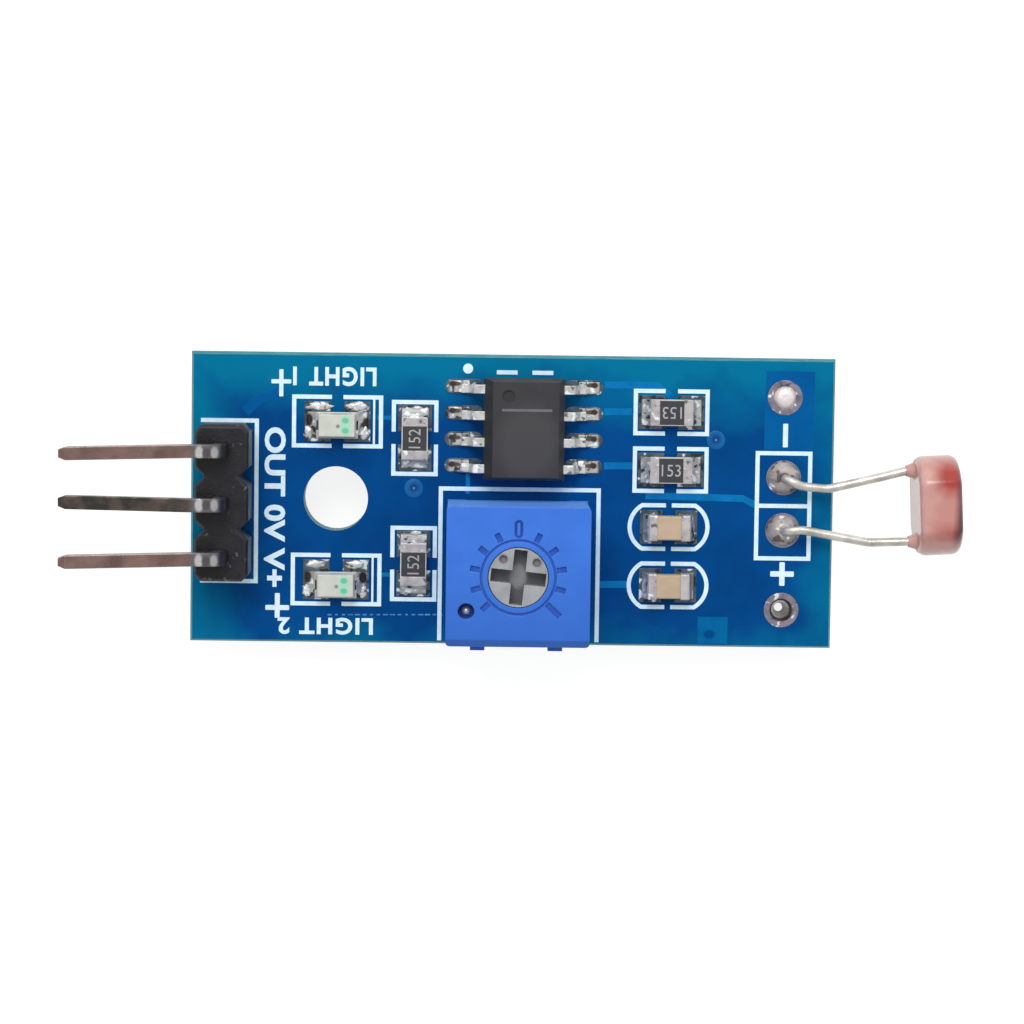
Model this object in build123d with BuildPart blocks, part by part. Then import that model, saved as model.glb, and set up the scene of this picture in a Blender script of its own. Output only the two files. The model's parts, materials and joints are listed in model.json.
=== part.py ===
from build123d import *
from math import cos, radians, sin, sqrt
import os

os.makedirs("parts", exist_ok=True)

# Light sensor module. The origin is the mounting hole's centre on the underside
# of the board, +X runs towards the light sensor and +Z is up through the parts.

# Circuit board
board_length = 31.0
board_width = 14.0
board_thickness = 1.6
left_edge_to_hole = 7.0
mounting_hole_diameter = 3.1
score_depth = 0.5
score_angle = 15.0
copper = 0.035
plating = 0.04
ink_height = 0.03
ink_line = 0.2
lead_tail = 1.4
# Gaps before the four columns of parts, as shares of the room that their outlines leave free
column_gap_shares = [0.2814, 0.0739, 0.0107, 0.2418]

# Pin header
pin_pitch = 2.54
header_ways = 3
header_x = -5.3
header_y = -0.17
header_slip = 0.04
header_width = 2.54
header_height = 2.54
header_end_trim = 0.1
header_notch = 0.45
header_corner = 0.3
header_edge = 0.12
pin_size = 0.64
pin_axis_height = 4.0
pin_bend_radius = 0.7
pin_tip_x = -12.8
pin_taper = 0.35
pin_taper_angle = 20.0
pin_splay = [-0.18, 0.08, -0.19]
header_bore = 0.5
header_ring = 0.85

# Trimmer potentiometer
trimmer_slip = -0.09
trimmer_y = -3.27
trimmer_width = 6.75
trimmer_depth = 6.6
trimmer_height = 4.9
trimmer_standoff = 0.3
trimmer_foot = 0.9
trimmer_wall = 0.45
trimmer_roof = 1.1
trimmer_front_bevel = 0.35
trimmer_corner = 0.2
toe_width = 0.7
toe_reach = 0.6
toe_height = 0.8
toe_spacing = 3.74
base_thickness = 1.2
element_thickness = 0.6
rotor_diameter = 2.79
rotor_gap = 0.04
rotor_recess = 0.03
rotor_turn = -5.5
slot_width = 0.62
slot_depth = 0.76
slot_rim = 0.1
pit_radius = 0.19
pit_depth = 0.2
flange_clearance = 0.525
flange_thickness = 0.5
flange_gap = 0.05
hub_radius = 1.2
hub_depth = 0.25
seal_section = 0.5
seal_gap = 0.06
wiper_thickness = 0.12
wiper_step = 0.2
contact_gap = 0.05
dial_ring_radius = 1.74
dial_ring_width = 0.12
dial_depth = 0.09
tick_count = 11
tick_step = 26.5
tick_radius = 2.06
tick_length = 0.46
tick_width = 0.27
long_tick_length = 0.85
zero_length = 0.86
zero_width = 0.4
zero_line = 0.13
index_hole_diameter = 0.78
index_hole_depth = 0.7
index_hole_inset = (0.955, 1.68)
terminal_margin = 0.385
trimmer_pin_diameter = 0.5
trimmer_bore = 0.4
trimmer_ring = 0.75

# Comparator in an eight-lead small-outline package
comparator_offset = 0.15
comparator_y = 3.58
comparator_slip = -0.1
comparator_width = 3.9
comparator_length = 4.9
comparator_thickness = 1.5
comparator_standoff = 0.15
comparator_top_inset = (0.375, 0.16)
comparator_top_shift = 0.075
comparator_base_inset = 0.12
comparator_lead_pitch = 1.27
comparator_lead_span = 6.0
comparator_lead_width = 0.42
comparator_lead_thickness = 0.2
comparator_lead_bury = 0.3
comparator_shoulder = 0.4
comparator_slope = 0.28
lead_bend_radius = 0.15
dimple_diameter = 0.6
dimple_depth = 0.08
dimple_offset = (-0.76, 1.58)
comparator_pad_length = 1.85
comparator_pad_width = 0.7
comparator_pad_reach = 3.8

# Chip resistors, capacitors and light-emitting diodes, all of the 2012 metric size
chip_length = 2.0
chip_width = 1.25
chip_metal = 0.05
chip_band = 0.42
resistor_height = 0.55
resistor_coat_height = 0.06
capacitor_height = 0.9
capacitor_edge = 0.08
capacitor_offset = 0.05
led_base_height = 0.35
led_lens_height = 0.45
led_lens_length = 1.86
led_lens_width = 1.2
led_lens_angle = 10.0
led_notch_radius = 0.24
led_slips = {"led_output": -0.17, "led_power": -0.24}
led_pad = (0.32, 1.58, 1.93)
resistor_pad = (0.32, 1.58, 1.62)
capacitor_pad = (0.32, 1.38, 1.62)
chip_solder_margin = 0.13

# Light-dependent resistor on its bent leads
sensor_hole_inset = 2.45
sensor_lead_spacing = 2.54
sensor_spare_y = 5.13
sensor_bore = 0.55
sensor_ring = 0.84
sensor_overhang = 3.8
sensor_y = 0.05
sensor_axis_height = 2.5
sensor_yaw = 3.0
sensor_length = 4.78
sensor_width = 4.1
sensor_thickness = 2.04
sensor_rim = 0.42
sensor_rim_angle = 40.0
sensor_lead_pitch = 3.4
sensor_lead_diameter = 0.42
sensor_cone_radius = 0.5
sensor_cone_length = 0.4
ceramic_margin = 0.3
ceramic_depth = 0.5
ceramic_thickness = 1.0
track_thickness = 0.06
track_runs = 6
track_width = 0.3

# Silkscreen outlines: outer length, outer width and the gap at the middle of two sides
led_frame = (4.37, 2.55, 0.55)
led_bar_inset = 0.33
resistor_frame = (3.65, 2.24, 0.6)
capacitor_frame = (3.96, 2.3, 0.28)
capacitor_frame_straight = 2.6
sensor_frame = (2.54, 5.08)
sensor_frame_y = -0.09
header_frame_margin = (0.31, 0.16)
header_frame_reach = 1.2
trimmer_frame_margin = (0.525, 0.62)
dot_diameter = 0.48
dot_offset = (-2.71, 2.75)
dash_length = 1.0
dash_offsets = [(-0.83, 2.59), (0.88, 2.59)]

# Solder
joint_height = 0.85
collar_height = 0.45
solder_skin = 0.07
solder_rise_ratio = 0.8
solder_hollow = (0.42, 0.45)
dome_height = 0.2

# Places worked out from the sizes above
board_centre_x = board_length / 2 - left_edge_to_hole
board_right = board_length - left_edge_to_hole
sensor_hole_x = board_right - sensor_hole_inset
column_edge = header_x + header_width / 2 + header_frame_margin[0]
trimmer_frame_width = trimmer_width + 2 * trimmer_frame_margin[0]
column_widths = [led_frame[0], resistor_frame[1], trimmer_frame_width, capacitor_frame[0]]
column_room = sensor_hole_x - sensor_frame[0] / 2 - column_edge - sum(column_widths)
columns = []
for column_width, gap_share in zip(column_widths, column_gap_shares):
    column_edge += column_room * gap_share
    columns.append(column_edge + column_width / 2)
    column_edge += column_width
led_column, resistor_column, middle_column, chip_column = columns
trimmer_x = middle_column + trimmer_slip
comparator_x = middle_column + comparator_offset
comparator_body_y = comparator_y + comparator_slip
deck = board_thickness + copper
header_places = [
    (header_x, header_y + ((header_ways - 1) / 2 - i) * pin_pitch) for i in range(header_ways)
]
header_pin_places = [(x, y + header_slip) for x, y in header_places]
terminal_reach = trimmer_width / 2 - trimmer_wall - terminal_margin
trimmer_places = [
    (middle_column - terminal_reach, trimmer_y - pin_pitch / 2),
    (middle_column, trimmer_y + pin_pitch / 2),
    (middle_column + terminal_reach, trimmer_y - pin_pitch / 2),
]
terminal_places = [(x + trimmer_slip, y) for x, y in trimmer_places]
sensor_places = [
    (sensor_hole_x, sensor_lead_spacing / 2),
    (sensor_hole_x, -sensor_lead_spacing / 2),
]
spare_places = [(sensor_hole_x, sensor_spare_y), (sensor_hole_x, -sensor_spare_y)]
plated_sets = [
    (header_places, header_bore, header_ring),
    (trimmer_places, trimmer_bore, trimmer_ring),
    (sensor_places + spare_places, sensor_bore, sensor_ring),
]
led_pad_places = {"led_output": (led_column, 3.71, 0), "led_power": (led_column, -3.91, 0)}
led_places = {name: (x, y + led_slips[name], turn) for name, (x, y, turn) in led_pad_places.items()}
resistor_places = {
    "resistor_1": (resistor_column, 2.96, 90),
    "resistor_2": (resistor_column, -3.1, 90),
    "resistor_3": (chip_column, 4.35, 180),
    "resistor_4": (chip_column, 1.58, 0),
}
capacitor_places = {
    "capacitor_1": (chip_column - capacitor_offset, -1.18, 0),
    "capacitor_2": (chip_column - capacitor_offset, -4.0, 0),
}


def seat_plane(x, y, turn):
    direction = (cos(radians(turn)), sin(radians(turn)), 0)
    return Plane(origin=(x, y, deck), x_dir=direction, z_dir=(0, 0, 1))


def side_plane(x, y, z, turn):
    direction = (cos(radians(turn)), sin(radians(turn)), 0)
    return Plane(origin=(x, y, z), x_dir=direction, z_dir=(direction[1], -direction[0], 0))


# Circuit board, with the sloped edges left by scoring it out of its panel
with BuildPart() as circuit_board:
    with BuildSketch(Plane.XY.offset(score_depth)):
        with Locations((board_centre_x, 0)):
            Rectangle(board_length, board_width)
    extrude(amount=board_thickness - 2 * score_depth)
    for end in (-1, 0):
        extrude(circuit_board.faces().sort_by(Axis.Z)[end], amount=score_depth, taper=score_angle)
    with Locations((0, 0, board_thickness)):
        Hole(mounting_hole_diameter / 2)
    for places, bore, ring in plated_sets:
        with Locations(*[(x, y, board_thickness) for x, y in places]):
            Hole(bore + plating)
circuit_board.part.label = "circuit_board"
export_step(circuit_board.part, "parts/circuit_board.step")

# Plated holes: a copper barrel with a ring on each face of the board
with BuildPart() as plated_holes:
    for places, bore, ring in plated_sets:
        with BuildSketch(Plane.XY):
            with Locations(*places):
                Circle(bore + plating)
        extrude(amount=board_thickness)
        with BuildSketch(Plane.XY.offset(-copper), Plane.XY.offset(board_thickness)):
            with Locations(*places):
                Circle(ring)
        extrude(amount=copper)
        with Locations(*[(x, y, deck) for x, y in places]):
            Hole(bore)
plated_holes.part.label = "plated_holes"
export_step(plated_holes.part, "parts/plated_holes.step")

# Surface pads for the chips and the comparator
chip_places = {**led_places, **resistor_places, **capacitor_places}
chip_pads = {"led": led_pad, "resistor": resistor_pad, "capacitor": capacitor_pad}
comparator_rows = [comparator_y + (1.5 - i) * comparator_lead_pitch for i in range(4)]
with BuildPart() as surface_pads:
    for name, (x, y, turn) in {**led_pad_places, **resistor_places, **capacitor_places}.items():
        pad_inner, pad_outer, pad_width = chip_pads[name.split("_")[0]]
        pad_middle = (pad_inner + pad_outer) / 2
        with BuildSketch(seat_plane(x, y, turn).offset(-copper)):
            with Locations((pad_middle, 0), (-pad_middle, 0)):
                Rectangle(pad_outer - pad_inner, pad_width)
        extrude(amount=copper)
    pad_centre = comparator_pad_reach - comparator_pad_length / 2
    with BuildSketch(Plane.XY.offset(board_thickness)):
        for y in comparator_rows:
            with Locations((comparator_x - pad_centre, y), (comparator_x + pad_centre, y)):
                SlotOverall(comparator_pad_length, comparator_pad_width)
    extrude(amount=copper)
surface_pads.part.label = "surface_pads"
export_step(surface_pads.part, "parts/surface_pads.step")

# Silkscreen outlines around the parts
with BuildPart() as silkscreen:
    for places, frame in ((led_pad_places, led_frame), (resistor_places, resistor_frame)):
        for x, y, turn in places.values():
            with BuildSketch(seat_plane(x, y, turn).offset(-copper)):
                Rectangle(frame[0], frame[1])
                Rectangle(frame[0] - 2 * ink_line, frame[1] - 2 * ink_line, mode=Mode.SUBTRACT)
                Rectangle(frame[2], frame[1], mode=Mode.SUBTRACT)
                if frame is led_frame:
                    with Locations((frame[0] / 2 - led_bar_inset - ink_line / 2, 0)):
                        Rectangle(ink_line / 2, frame[1])
            extrude(amount=ink_height)
    for x, y, turn in capacitor_places.values():
        with BuildSketch(seat_plane(x, y, turn).offset(-copper)):
            with BuildLine():
                half_width = capacitor_frame[1] / 2
                for side in (1, -1):
                    end_x = side * capacitor_frame_straight / 2
                    arc_x = side * capacitor_frame[0] / 2
                    Line((-end_x, side * half_width), (end_x, side * half_width))
                    ThreePointArc((end_x, half_width), (arc_x, 0), (end_x, -half_width))
            make_face()
            offset(amount=-ink_line, kind=Kind.INTERSECTION, mode=Mode.SUBTRACT)
            Rectangle(capacitor_frame[2], capacitor_frame[1], mode=Mode.SUBTRACT)
        extrude(amount=ink_height)
    with BuildSketch(Plane.XY.offset(board_thickness)):
        right = header_width / 2 + header_frame_margin[0]
        length = header_ways * pin_pitch + 2 * header_frame_margin[1]
        with Locations((header_x + (right - header_frame_reach) / 2, header_y)):
            Rectangle(right + header_frame_reach, length)
        with Locations((header_x + (right - header_frame_reach) / 2 - ink_line, header_y)):
            Rectangle(right + header_frame_reach, length - 2 * ink_line, mode=Mode.SUBTRACT)
        back = trimmer_y + trimmer_depth / 2 + trimmer_frame_margin[1]
        front = ink_line - board_width / 2
        with Locations((middle_column, (back + front) / 2)):
            Rectangle(trimmer_frame_width, back - front)
        with Locations((middle_column, (back + front) / 2 - ink_line)):
            Rectangle(trimmer_frame_width - 2 * ink_line, back - front, mode=Mode.SUBTRACT)
        with Locations((sensor_hole_x, sensor_frame_y)):
            Rectangle(sensor_frame[0] + ink_line, sensor_frame[1] + ink_line)
            with GridLocations(0, sensor_frame[1] / 2, 1, 2):
                Rectangle(sensor_frame[0] - ink_line, sensor_frame[1] / 2 - ink_line, mode=Mode.SUBTRACT)
        with Locations((comparator_x + dot_offset[0], comparator_y + dot_offset[1])):
            Circle(dot_diameter / 2)
        for dash_x, dash_y in dash_offsets:
            with Locations((comparator_x + dash_x, comparator_y + dash_y)):
                Rectangle(dash_length, ink_line)
    extrude(amount=ink_height)
silkscreen.part.label = "silkscreen"
export_step(silkscreen.part, "parts/silkscreen.step")

# Header pins: square wire with one bend, a pointed tail and a long free end
header_pins = []
pin_axis_z = board_thickness + pin_axis_height
knee_x = header_x - header_width / 2
for number, (x, y) in enumerate(header_pin_places):
    with BuildPart() as header_pin:
        half = pin_size / 2
        with BuildSketch(side_plane(0, y, 0, 0)):
            with BuildLine():
                outer = FilletPolyline(
                    (x + half, pin_taper - lead_tail),
                    (x + half, pin_axis_z + half),
                    (knee_x, pin_axis_z + half),
                    radius=pin_bend_radius + half,
                )
                Line((knee_x, pin_axis_z + half), (knee_x, pin_axis_z - half))
                FilletPolyline(
                    (knee_x, pin_axis_z - half),
                    (x - half, pin_axis_z - half),
                    (x - half, pin_taper - lead_tail),
                    radius=pin_bend_radius - half,
                )
                Line((x - half, pin_taper - lead_tail), (x + half, pin_taper - lead_tail))
            make_face()
        extrude(amount=half, both=True)
        extrude(header_pin.faces().sort_by(Axis.Z)[0], amount=pin_taper, taper=pin_taper_angle)
        with BuildSketch(Plane(origin=(knee_x, y, pin_axis_z), z_dir=(-1, 0, 0))):
            Rectangle(pin_size, pin_size)
        tip_y = y + pin_splay[number]
        with BuildSketch(Plane(origin=(pin_tip_x + pin_taper, tip_y, pin_axis_z), z_dir=(-1, 0, 0))):
            Rectangle(pin_size, pin_size)
        loft()
        extrude(header_pin.faces().sort_by(Axis.X)[0], amount=pin_taper, taper=pin_taper_angle)
    header_pin.part.label = f"header_pin_{number + 1}"
    export_step(header_pin.part, f"parts/header_pin_{number + 1}.step")
    header_pins.append(header_pin.part)

# Header body: three octagonal cells moulded in one strip, pressed over the pins
with BuildPart() as header_body:
    with BuildSketch(Plane.XY.offset(deck)) as header_outline:
        with Locations((header_x, header_y + header_slip)):
            Rectangle(header_width, header_ways * pin_pitch - 2 * header_end_trim)
        chamfer(header_outline.vertices(), header_corner)
        for x, y in header_pin_places[1:]:
            notch_y = y + pin_pitch / 2
            with Locations((x - header_width / 2, notch_y), (x + header_width / 2, notch_y)):
                Rectangle(header_notch * sqrt(2), header_notch * sqrt(2), 45, mode=Mode.SUBTRACT)
    extrude(amount=header_height)
    chamfer(header_body.faces().sort_by(Axis.Z)[-1].edges(), header_edge)
    for header_pin in header_pins:
        add(header_pin, mode=Mode.SUBTRACT)
header_body.part.label = "header_body"
export_step(header_body.part, "parts/header_body.step")

# Trimmer housing: a moulded cap with a dial, a shaft hole and a seal groove in its roof
trimmer_top = board_thickness + trimmer_height
trimmer_bottom = board_thickness + trimmer_standoff
roof_under = trimmer_top - trimmer_roof
dial = Plane(origin=(trimmer_x, trimmer_y, trimmer_top))
rotor_radius = rotor_diameter / 2
seal_radius = rotor_radius + seal_section
with BuildPart() as trimmer_housing:
    with BuildSketch(Plane.XY.offset(trimmer_bottom)):
        with Locations((trimmer_x, trimmer_y)):
            Rectangle(trimmer_width, trimmer_depth)
    extrude(amount=trimmer_top - trimmer_bottom)
    top_edges = trimmer_housing.faces().sort_by(Axis.Z)[-1].edges()
    chamfer(top_edges.sort_by(Axis.Y)[0], trimmer_front_bevel)
    fillet(trimmer_housing.edges().filter_by(Axis.Z), trimmer_corner)
    with BuildSketch(Plane.XY.offset(trimmer_bottom)):
        with Locations((trimmer_x, trimmer_y)):
            Rectangle(trimmer_width - 2 * trimmer_wall, trimmer_depth - 2 * trimmer_wall)
    extrude(amount=roof_under - trimmer_bottom, mode=Mode.SUBTRACT)
    with BuildSketch(Plane.XY.offset(board_thickness)):
        foot_x = (trimmer_width - trimmer_foot) / 2
        foot_y = (trimmer_depth - trimmer_foot) / 2
        with Locations((trimmer_x, trimmer_y)):
            with GridLocations(2 * foot_x, 2 * foot_y, 2, 2):
                Rectangle(trimmer_foot, trimmer_foot)
    extrude(amount=trimmer_standoff)
    with BuildSketch(Plane.XY.offset(board_thickness)):
        toe_y = trimmer_y - trimmer_depth / 2 - (toe_reach - trimmer_wall) / 2
        with Locations((trimmer_x - toe_spacing / 2, toe_y), (trimmer_x + toe_spacing / 2, toe_y)):
            Rectangle(toe_width, toe_reach + trimmer_wall)
    extrude(amount=toe_height)
    with Locations((trimmer_x, trimmer_y, trimmer_top)):
        Hole(rotor_radius + rotor_gap)
    with BuildSketch(Plane.XY.offset(roof_under)):
        with Locations((trimmer_x, trimmer_y)):
            Circle(seal_radius + seal_gap)
    extrude(amount=seal_section, mode=Mode.SUBTRACT)
    with BuildSketch(dial):
        Circle(dial_ring_radius + dial_ring_width / 2)
        Circle(dial_ring_radius - dial_ring_width / 2, mode=Mode.SUBTRACT)
        for i in range(1, tick_count - 1):
            angle = 90 + (tick_count // 2 - i) * tick_step
            if i != tick_count // 2:
                with PolarLocations(tick_radius, 1, start_angle=angle):
                    Rectangle(tick_length, tick_width)
        with PolarLocations(tick_radius, 1, start_angle=90 + tick_count // 2 * tick_step):
            Rectangle(tick_length, tick_width)
        long_tick_radius = tick_radius + (long_tick_length - tick_length) / 2
        with PolarLocations(long_tick_radius, 1, start_angle=90 - tick_count // 2 * tick_step):
            Rectangle(long_tick_length, tick_width)
        with Locations((0, tick_radius - tick_length / 2 + zero_length / 2)):
            SlotOverall(zero_length, zero_width, 90)
            SlotOverall(zero_length - 2 * zero_line, zero_width - 2 * zero_line, 90, mode=Mode.SUBTRACT)
    extrude(amount=-dial_depth, mode=Mode.SUBTRACT)
    with BuildSketch(dial):
        hole_x = index_hole_inset[0] - trimmer_width / 2
        hole_y = index_hole_inset[1] - trimmer_depth / 2
        with Locations((hole_x, hole_y)):
            Circle(index_hole_diameter / 2)
    extrude(amount=-index_hole_depth, mode=Mode.SUBTRACT)
trimmer_housing.part.label = "trimmer_housing"
export_step(trimmer_housing.part, "parts/trimmer_housing.step")

# Trimmer terminals: round wire from the resistive element through the board
element_top = trimmer_bottom + base_thickness + element_thickness
trimmer_pins = []
for number, (x, y) in enumerate(terminal_places):
    with BuildPart() as trimmer_pin:
        with BuildSketch(Plane.XY.offset(-lead_tail)):
            with Locations((x, y)):
                Circle(trimmer_pin_diameter / 2)
        extrude(amount=element_top + lead_tail)
    trimmer_pin.part.label = f"trimmer_pin_{number + 1}"
    export_step(trimmer_pin.part, f"parts/trimmer_pin_{number + 1}.step")
    trimmer_pins.append(trimmer_pin.part)

# Trimmer base and ceramic element, stacked in the housing's open underside
trimmer_floors = (
    ("trimmer_base", trimmer_bottom, base_thickness),
    ("trimmer_element", trimmer_bottom + base_thickness, element_thickness),
)
for name, height, thickness in trimmer_floors:
    with BuildPart() as trimmer_floor:
        with BuildSketch(Plane.XY.offset(height)):
            with Locations((trimmer_x, trimmer_y)):
                Rectangle(trimmer_width - 2 * trimmer_wall, trimmer_depth - 2 * trimmer_wall)
        extrude(amount=thickness)
        for trimmer_pin in trimmer_pins:
            add(trimmer_pin, mode=Mode.SUBTRACT)
    trimmer_floor.part.label = name
    export_step(trimmer_floor.part, f"parts/{name}.step")

# Trimmer rotor: a slotted neck in the roof's hole, held by a flange under the roof
rotor_top = trimmer_top - rotor_recess
flange_top = roof_under - flange_gap
flange_radius = trimmer_width / 2 - trimmer_wall - flange_clearance
rotor_face = Plane(origin=(trimmer_x, trimmer_y, rotor_top))
with BuildPart() as trimmer_rotor:
    with BuildSketch(rotor_face):
        Circle(rotor_radius)
    extrude(amount=flange_top - rotor_top)
    with BuildSketch(rotor_face.offset(flange_top - rotor_top)):
        Circle(flange_radius)
    extrude(amount=-flange_thickness)
    with BuildSketch(rotor_face.offset(flange_top - rotor_top - flange_thickness)):
        Circle(hub_radius)
    extrude(amount=-hub_depth)
    slot_plane = rotor_face.rotated((0, 0, rotor_turn))
    with BuildSketch(slot_plane):
        for turn in (0, 90):
            Rectangle(rotor_diameter - 2 * slot_rim, slot_width, turn)
    extrude(amount=-slot_depth, mode=Mode.SUBTRACT)
    with BuildSketch(slot_plane):
        with PolarLocations(rotor_radius - pit_radius - slot_rim, 2, start_angle=45, angular_range=180):
            Circle(pit_radius)
    extrude(amount=-pit_depth, mode=Mode.SUBTRACT)
trimmer_rotor.part.label = "trimmer_rotor"
export_step(trimmer_rotor.part, "parts/trimmer_rotor.step")

# Seal ring round the rotor's neck, resting on the flange
with BuildPart() as trimmer_seal:
    with BuildSketch(Plane(origin=(trimmer_x, trimmer_y, flange_top))):
        Circle(seal_radius)
        Circle(rotor_radius, mode=Mode.SUBTRACT)
    extrude(amount=seal_section - flange_gap)
trimmer_seal.part.label = "trimmer_seal"
export_step(trimmer_seal.part, "parts/trimmer_seal.step")

# Wiper: a spring ring under the flange with two tongues bent down to the element
wiper_top = flange_top - flange_thickness
wiper_radius = flange_radius - wiper_step
with BuildPart() as trimmer_wiper:
    with BuildSketch(Plane(origin=(trimmer_x, trimmer_y, wiper_top))):
        Circle(wiper_radius)
        Circle(hub_radius, mode=Mode.SUBTRACT)
    extrude(amount=-wiper_thickness)
    contact_z = element_top + contact_gap
    for side in (1, -1):
        with BuildSketch(side_plane(trimmer_x, trimmer_y, 0, 90 - 90 * side)):
            with BuildLine():
                Polyline(
                    (wiper_radius - wiper_thickness, wiper_top - wiper_thickness),
                    (wiper_radius - 3 * wiper_thickness, wiper_top - wiper_thickness),
                    (hub_radius, contact_z + wiper_thickness),
                    (hub_radius, contact_z),
                    (hub_radius + 2 * wiper_thickness, contact_z),
                    close=True,
                )
            make_face()
        extrude(amount=2 * wiper_thickness, both=True)
trimmer_wiper.part.label = "trimmer_wiper"
export_step(trimmer_wiper.part, "parts/trimmer_wiper.step")

# Comparator leads: gull-wing strips from inside the body down to their pads
comparator_base = board_thickness + comparator_standoff
parting_z = comparator_base + comparator_thickness / 2
foot_z = deck + comparator_lead_thickness / 2
shoulder_x = comparator_width / 2 + comparator_shoulder
comparator_leads = []
for number in range(8):
    right_hand = number >= 4
    y = comparator_rows[7 - number if right_hand else number] + comparator_slip
    with BuildPart() as comparator_lead:
        with BuildLine(side_plane(comparator_x, y, 0, 0 if right_hand else 180)) as lead_path:
            FilletPolyline(
                (comparator_width / 2 - comparator_lead_bury, parting_z),
                (shoulder_x, parting_z),
                (shoulder_x + comparator_slope, foot_z),
                (comparator_lead_span / 2, foot_z),
                radius=lead_bend_radius,
            )
        start = lead_path.line @ 0
        with BuildSketch(Plane(origin=start, x_dir=(0, 1, 0), z_dir=lead_path.line % 0)):
            Rectangle(comparator_lead_width, comparator_lead_thickness)
        sweep()
    comparator_lead.part.label = f"comparator_lead_{number + 1}"
    export_step(comparator_lead.part, f"parts/comparator_lead_{number + 1}.step")
    comparator_leads.append(comparator_lead.part)

# Comparator body: moulded in two halves that slope away from the parting line
with BuildPart() as comparator_body:
    inset_x, inset_y = comparator_top_inset
    halves = (
        (comparator_base, comparator_base_inset, comparator_base_inset, 0),
        (comparator_base + comparator_thickness, inset_x, inset_y, comparator_top_shift),
    )
    for height, inset_x, inset_y, shift in halves:
        with BuildSketch(Plane.XY.offset(parting_z)):
            with Locations((comparator_x, comparator_body_y)):
                Rectangle(comparator_width, comparator_length)
        with BuildSketch(Plane.XY.offset(height)):
            with Locations((comparator_x + shift, comparator_body_y)):
                Rectangle(comparator_width - 2 * inset_x, comparator_length - 2 * inset_y)
        loft()
    with BuildSketch(Plane.XY.offset(comparator_base + comparator_thickness)):
        with Locations((comparator_x + dimple_offset[0], comparator_body_y + dimple_offset[1])):
            Circle(dimple_diameter / 2)
    extrude(amount=-dimple_depth, mode=Mode.SUBTRACT)
    for comparator_lead in comparator_leads:
        add(comparator_lead, mode=Mode.SUBTRACT)
comparator_body.part.label = "comparator_body"
export_step(comparator_body.part, "parts/comparator_body.step")

# Chip resistors: ceramic block, dark coat on top and wrapped metal ends
for name, (x, y, turn) in resistor_places.items():
    seat = seat_plane(x, y, turn)
    with BuildPart() as resistor_body:
        with BuildSketch(seat.offset(chip_metal)):
            Rectangle(chip_length - 2 * chip_metal, chip_width)
        extrude(amount=resistor_height - 2 * chip_metal)
    resistor_body.part.label = f"{name}_body"
    export_step(resistor_body.part, f"parts/{name}_body.step")
    with BuildPart() as resistor_coat:
        with BuildSketch(seat.offset(resistor_height - chip_metal)):
            Rectangle(chip_length - 2 * chip_band, chip_width - 2 * chip_metal)
        extrude(amount=resistor_coat_height)
        fillet(resistor_coat.faces().sort_by(Axis.Z)[-1].edges(), resistor_coat_height / 3)
    resistor_coat.part.label = f"{name}_coat"
    export_step(resistor_coat.part, f"parts/{name}_coat.step")
    with BuildPart() as resistor_terminals:
        with BuildSketch(seat):
            Rectangle(chip_length, chip_width)
            Rectangle(chip_length - 2 * chip_band, chip_width, mode=Mode.SUBTRACT)
        extrude(amount=resistor_height)
        add(resistor_body.part, mode=Mode.SUBTRACT)
    resistor_terminals.part.label = f"{name}_terminals"
    export_step(resistor_terminals.part, f"parts/{name}_terminals.step")

# Chip capacitors: ceramic block with five-sided metal end caps
for name, (x, y, turn) in capacitor_places.items():
    seat = seat_plane(x, y, turn)
    with BuildPart() as capacitor_body:
        with BuildSketch(seat.offset(chip_metal)):
            Rectangle(chip_length - 2 * chip_metal, chip_width - 2 * chip_metal)
        extrude(amount=capacitor_height - 2 * chip_metal)
        fillet(capacitor_body.edges().filter_by(Axis.X), capacitor_edge)
    capacitor_body.part.label = f"{name}_body"
    export_step(capacitor_body.part, f"parts/{name}_body.step")
    with BuildPart() as capacitor_terminals:
        with BuildSketch(seat):
            Rectangle(chip_length, chip_width)
        extrude(amount=capacitor_height)
        fillet(capacitor_terminals.edges().filter_by(Axis.X), capacitor_edge)
        for end in (-1, 0):
            chamfer(capacitor_terminals.faces().sort_by(Axis.X)[end].edges(), capacitor_edge / 2)
        with BuildSketch(seat):
            Rectangle(chip_length - 2 * chip_band, chip_width)
        extrude(amount=capacitor_height, mode=Mode.SUBTRACT)
        add(capacitor_body.part, mode=Mode.SUBTRACT)
    capacitor_terminals.part.label = f"{name}_terminals"
    export_step(capacitor_terminals.part, f"parts/{name}_terminals.step")

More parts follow.
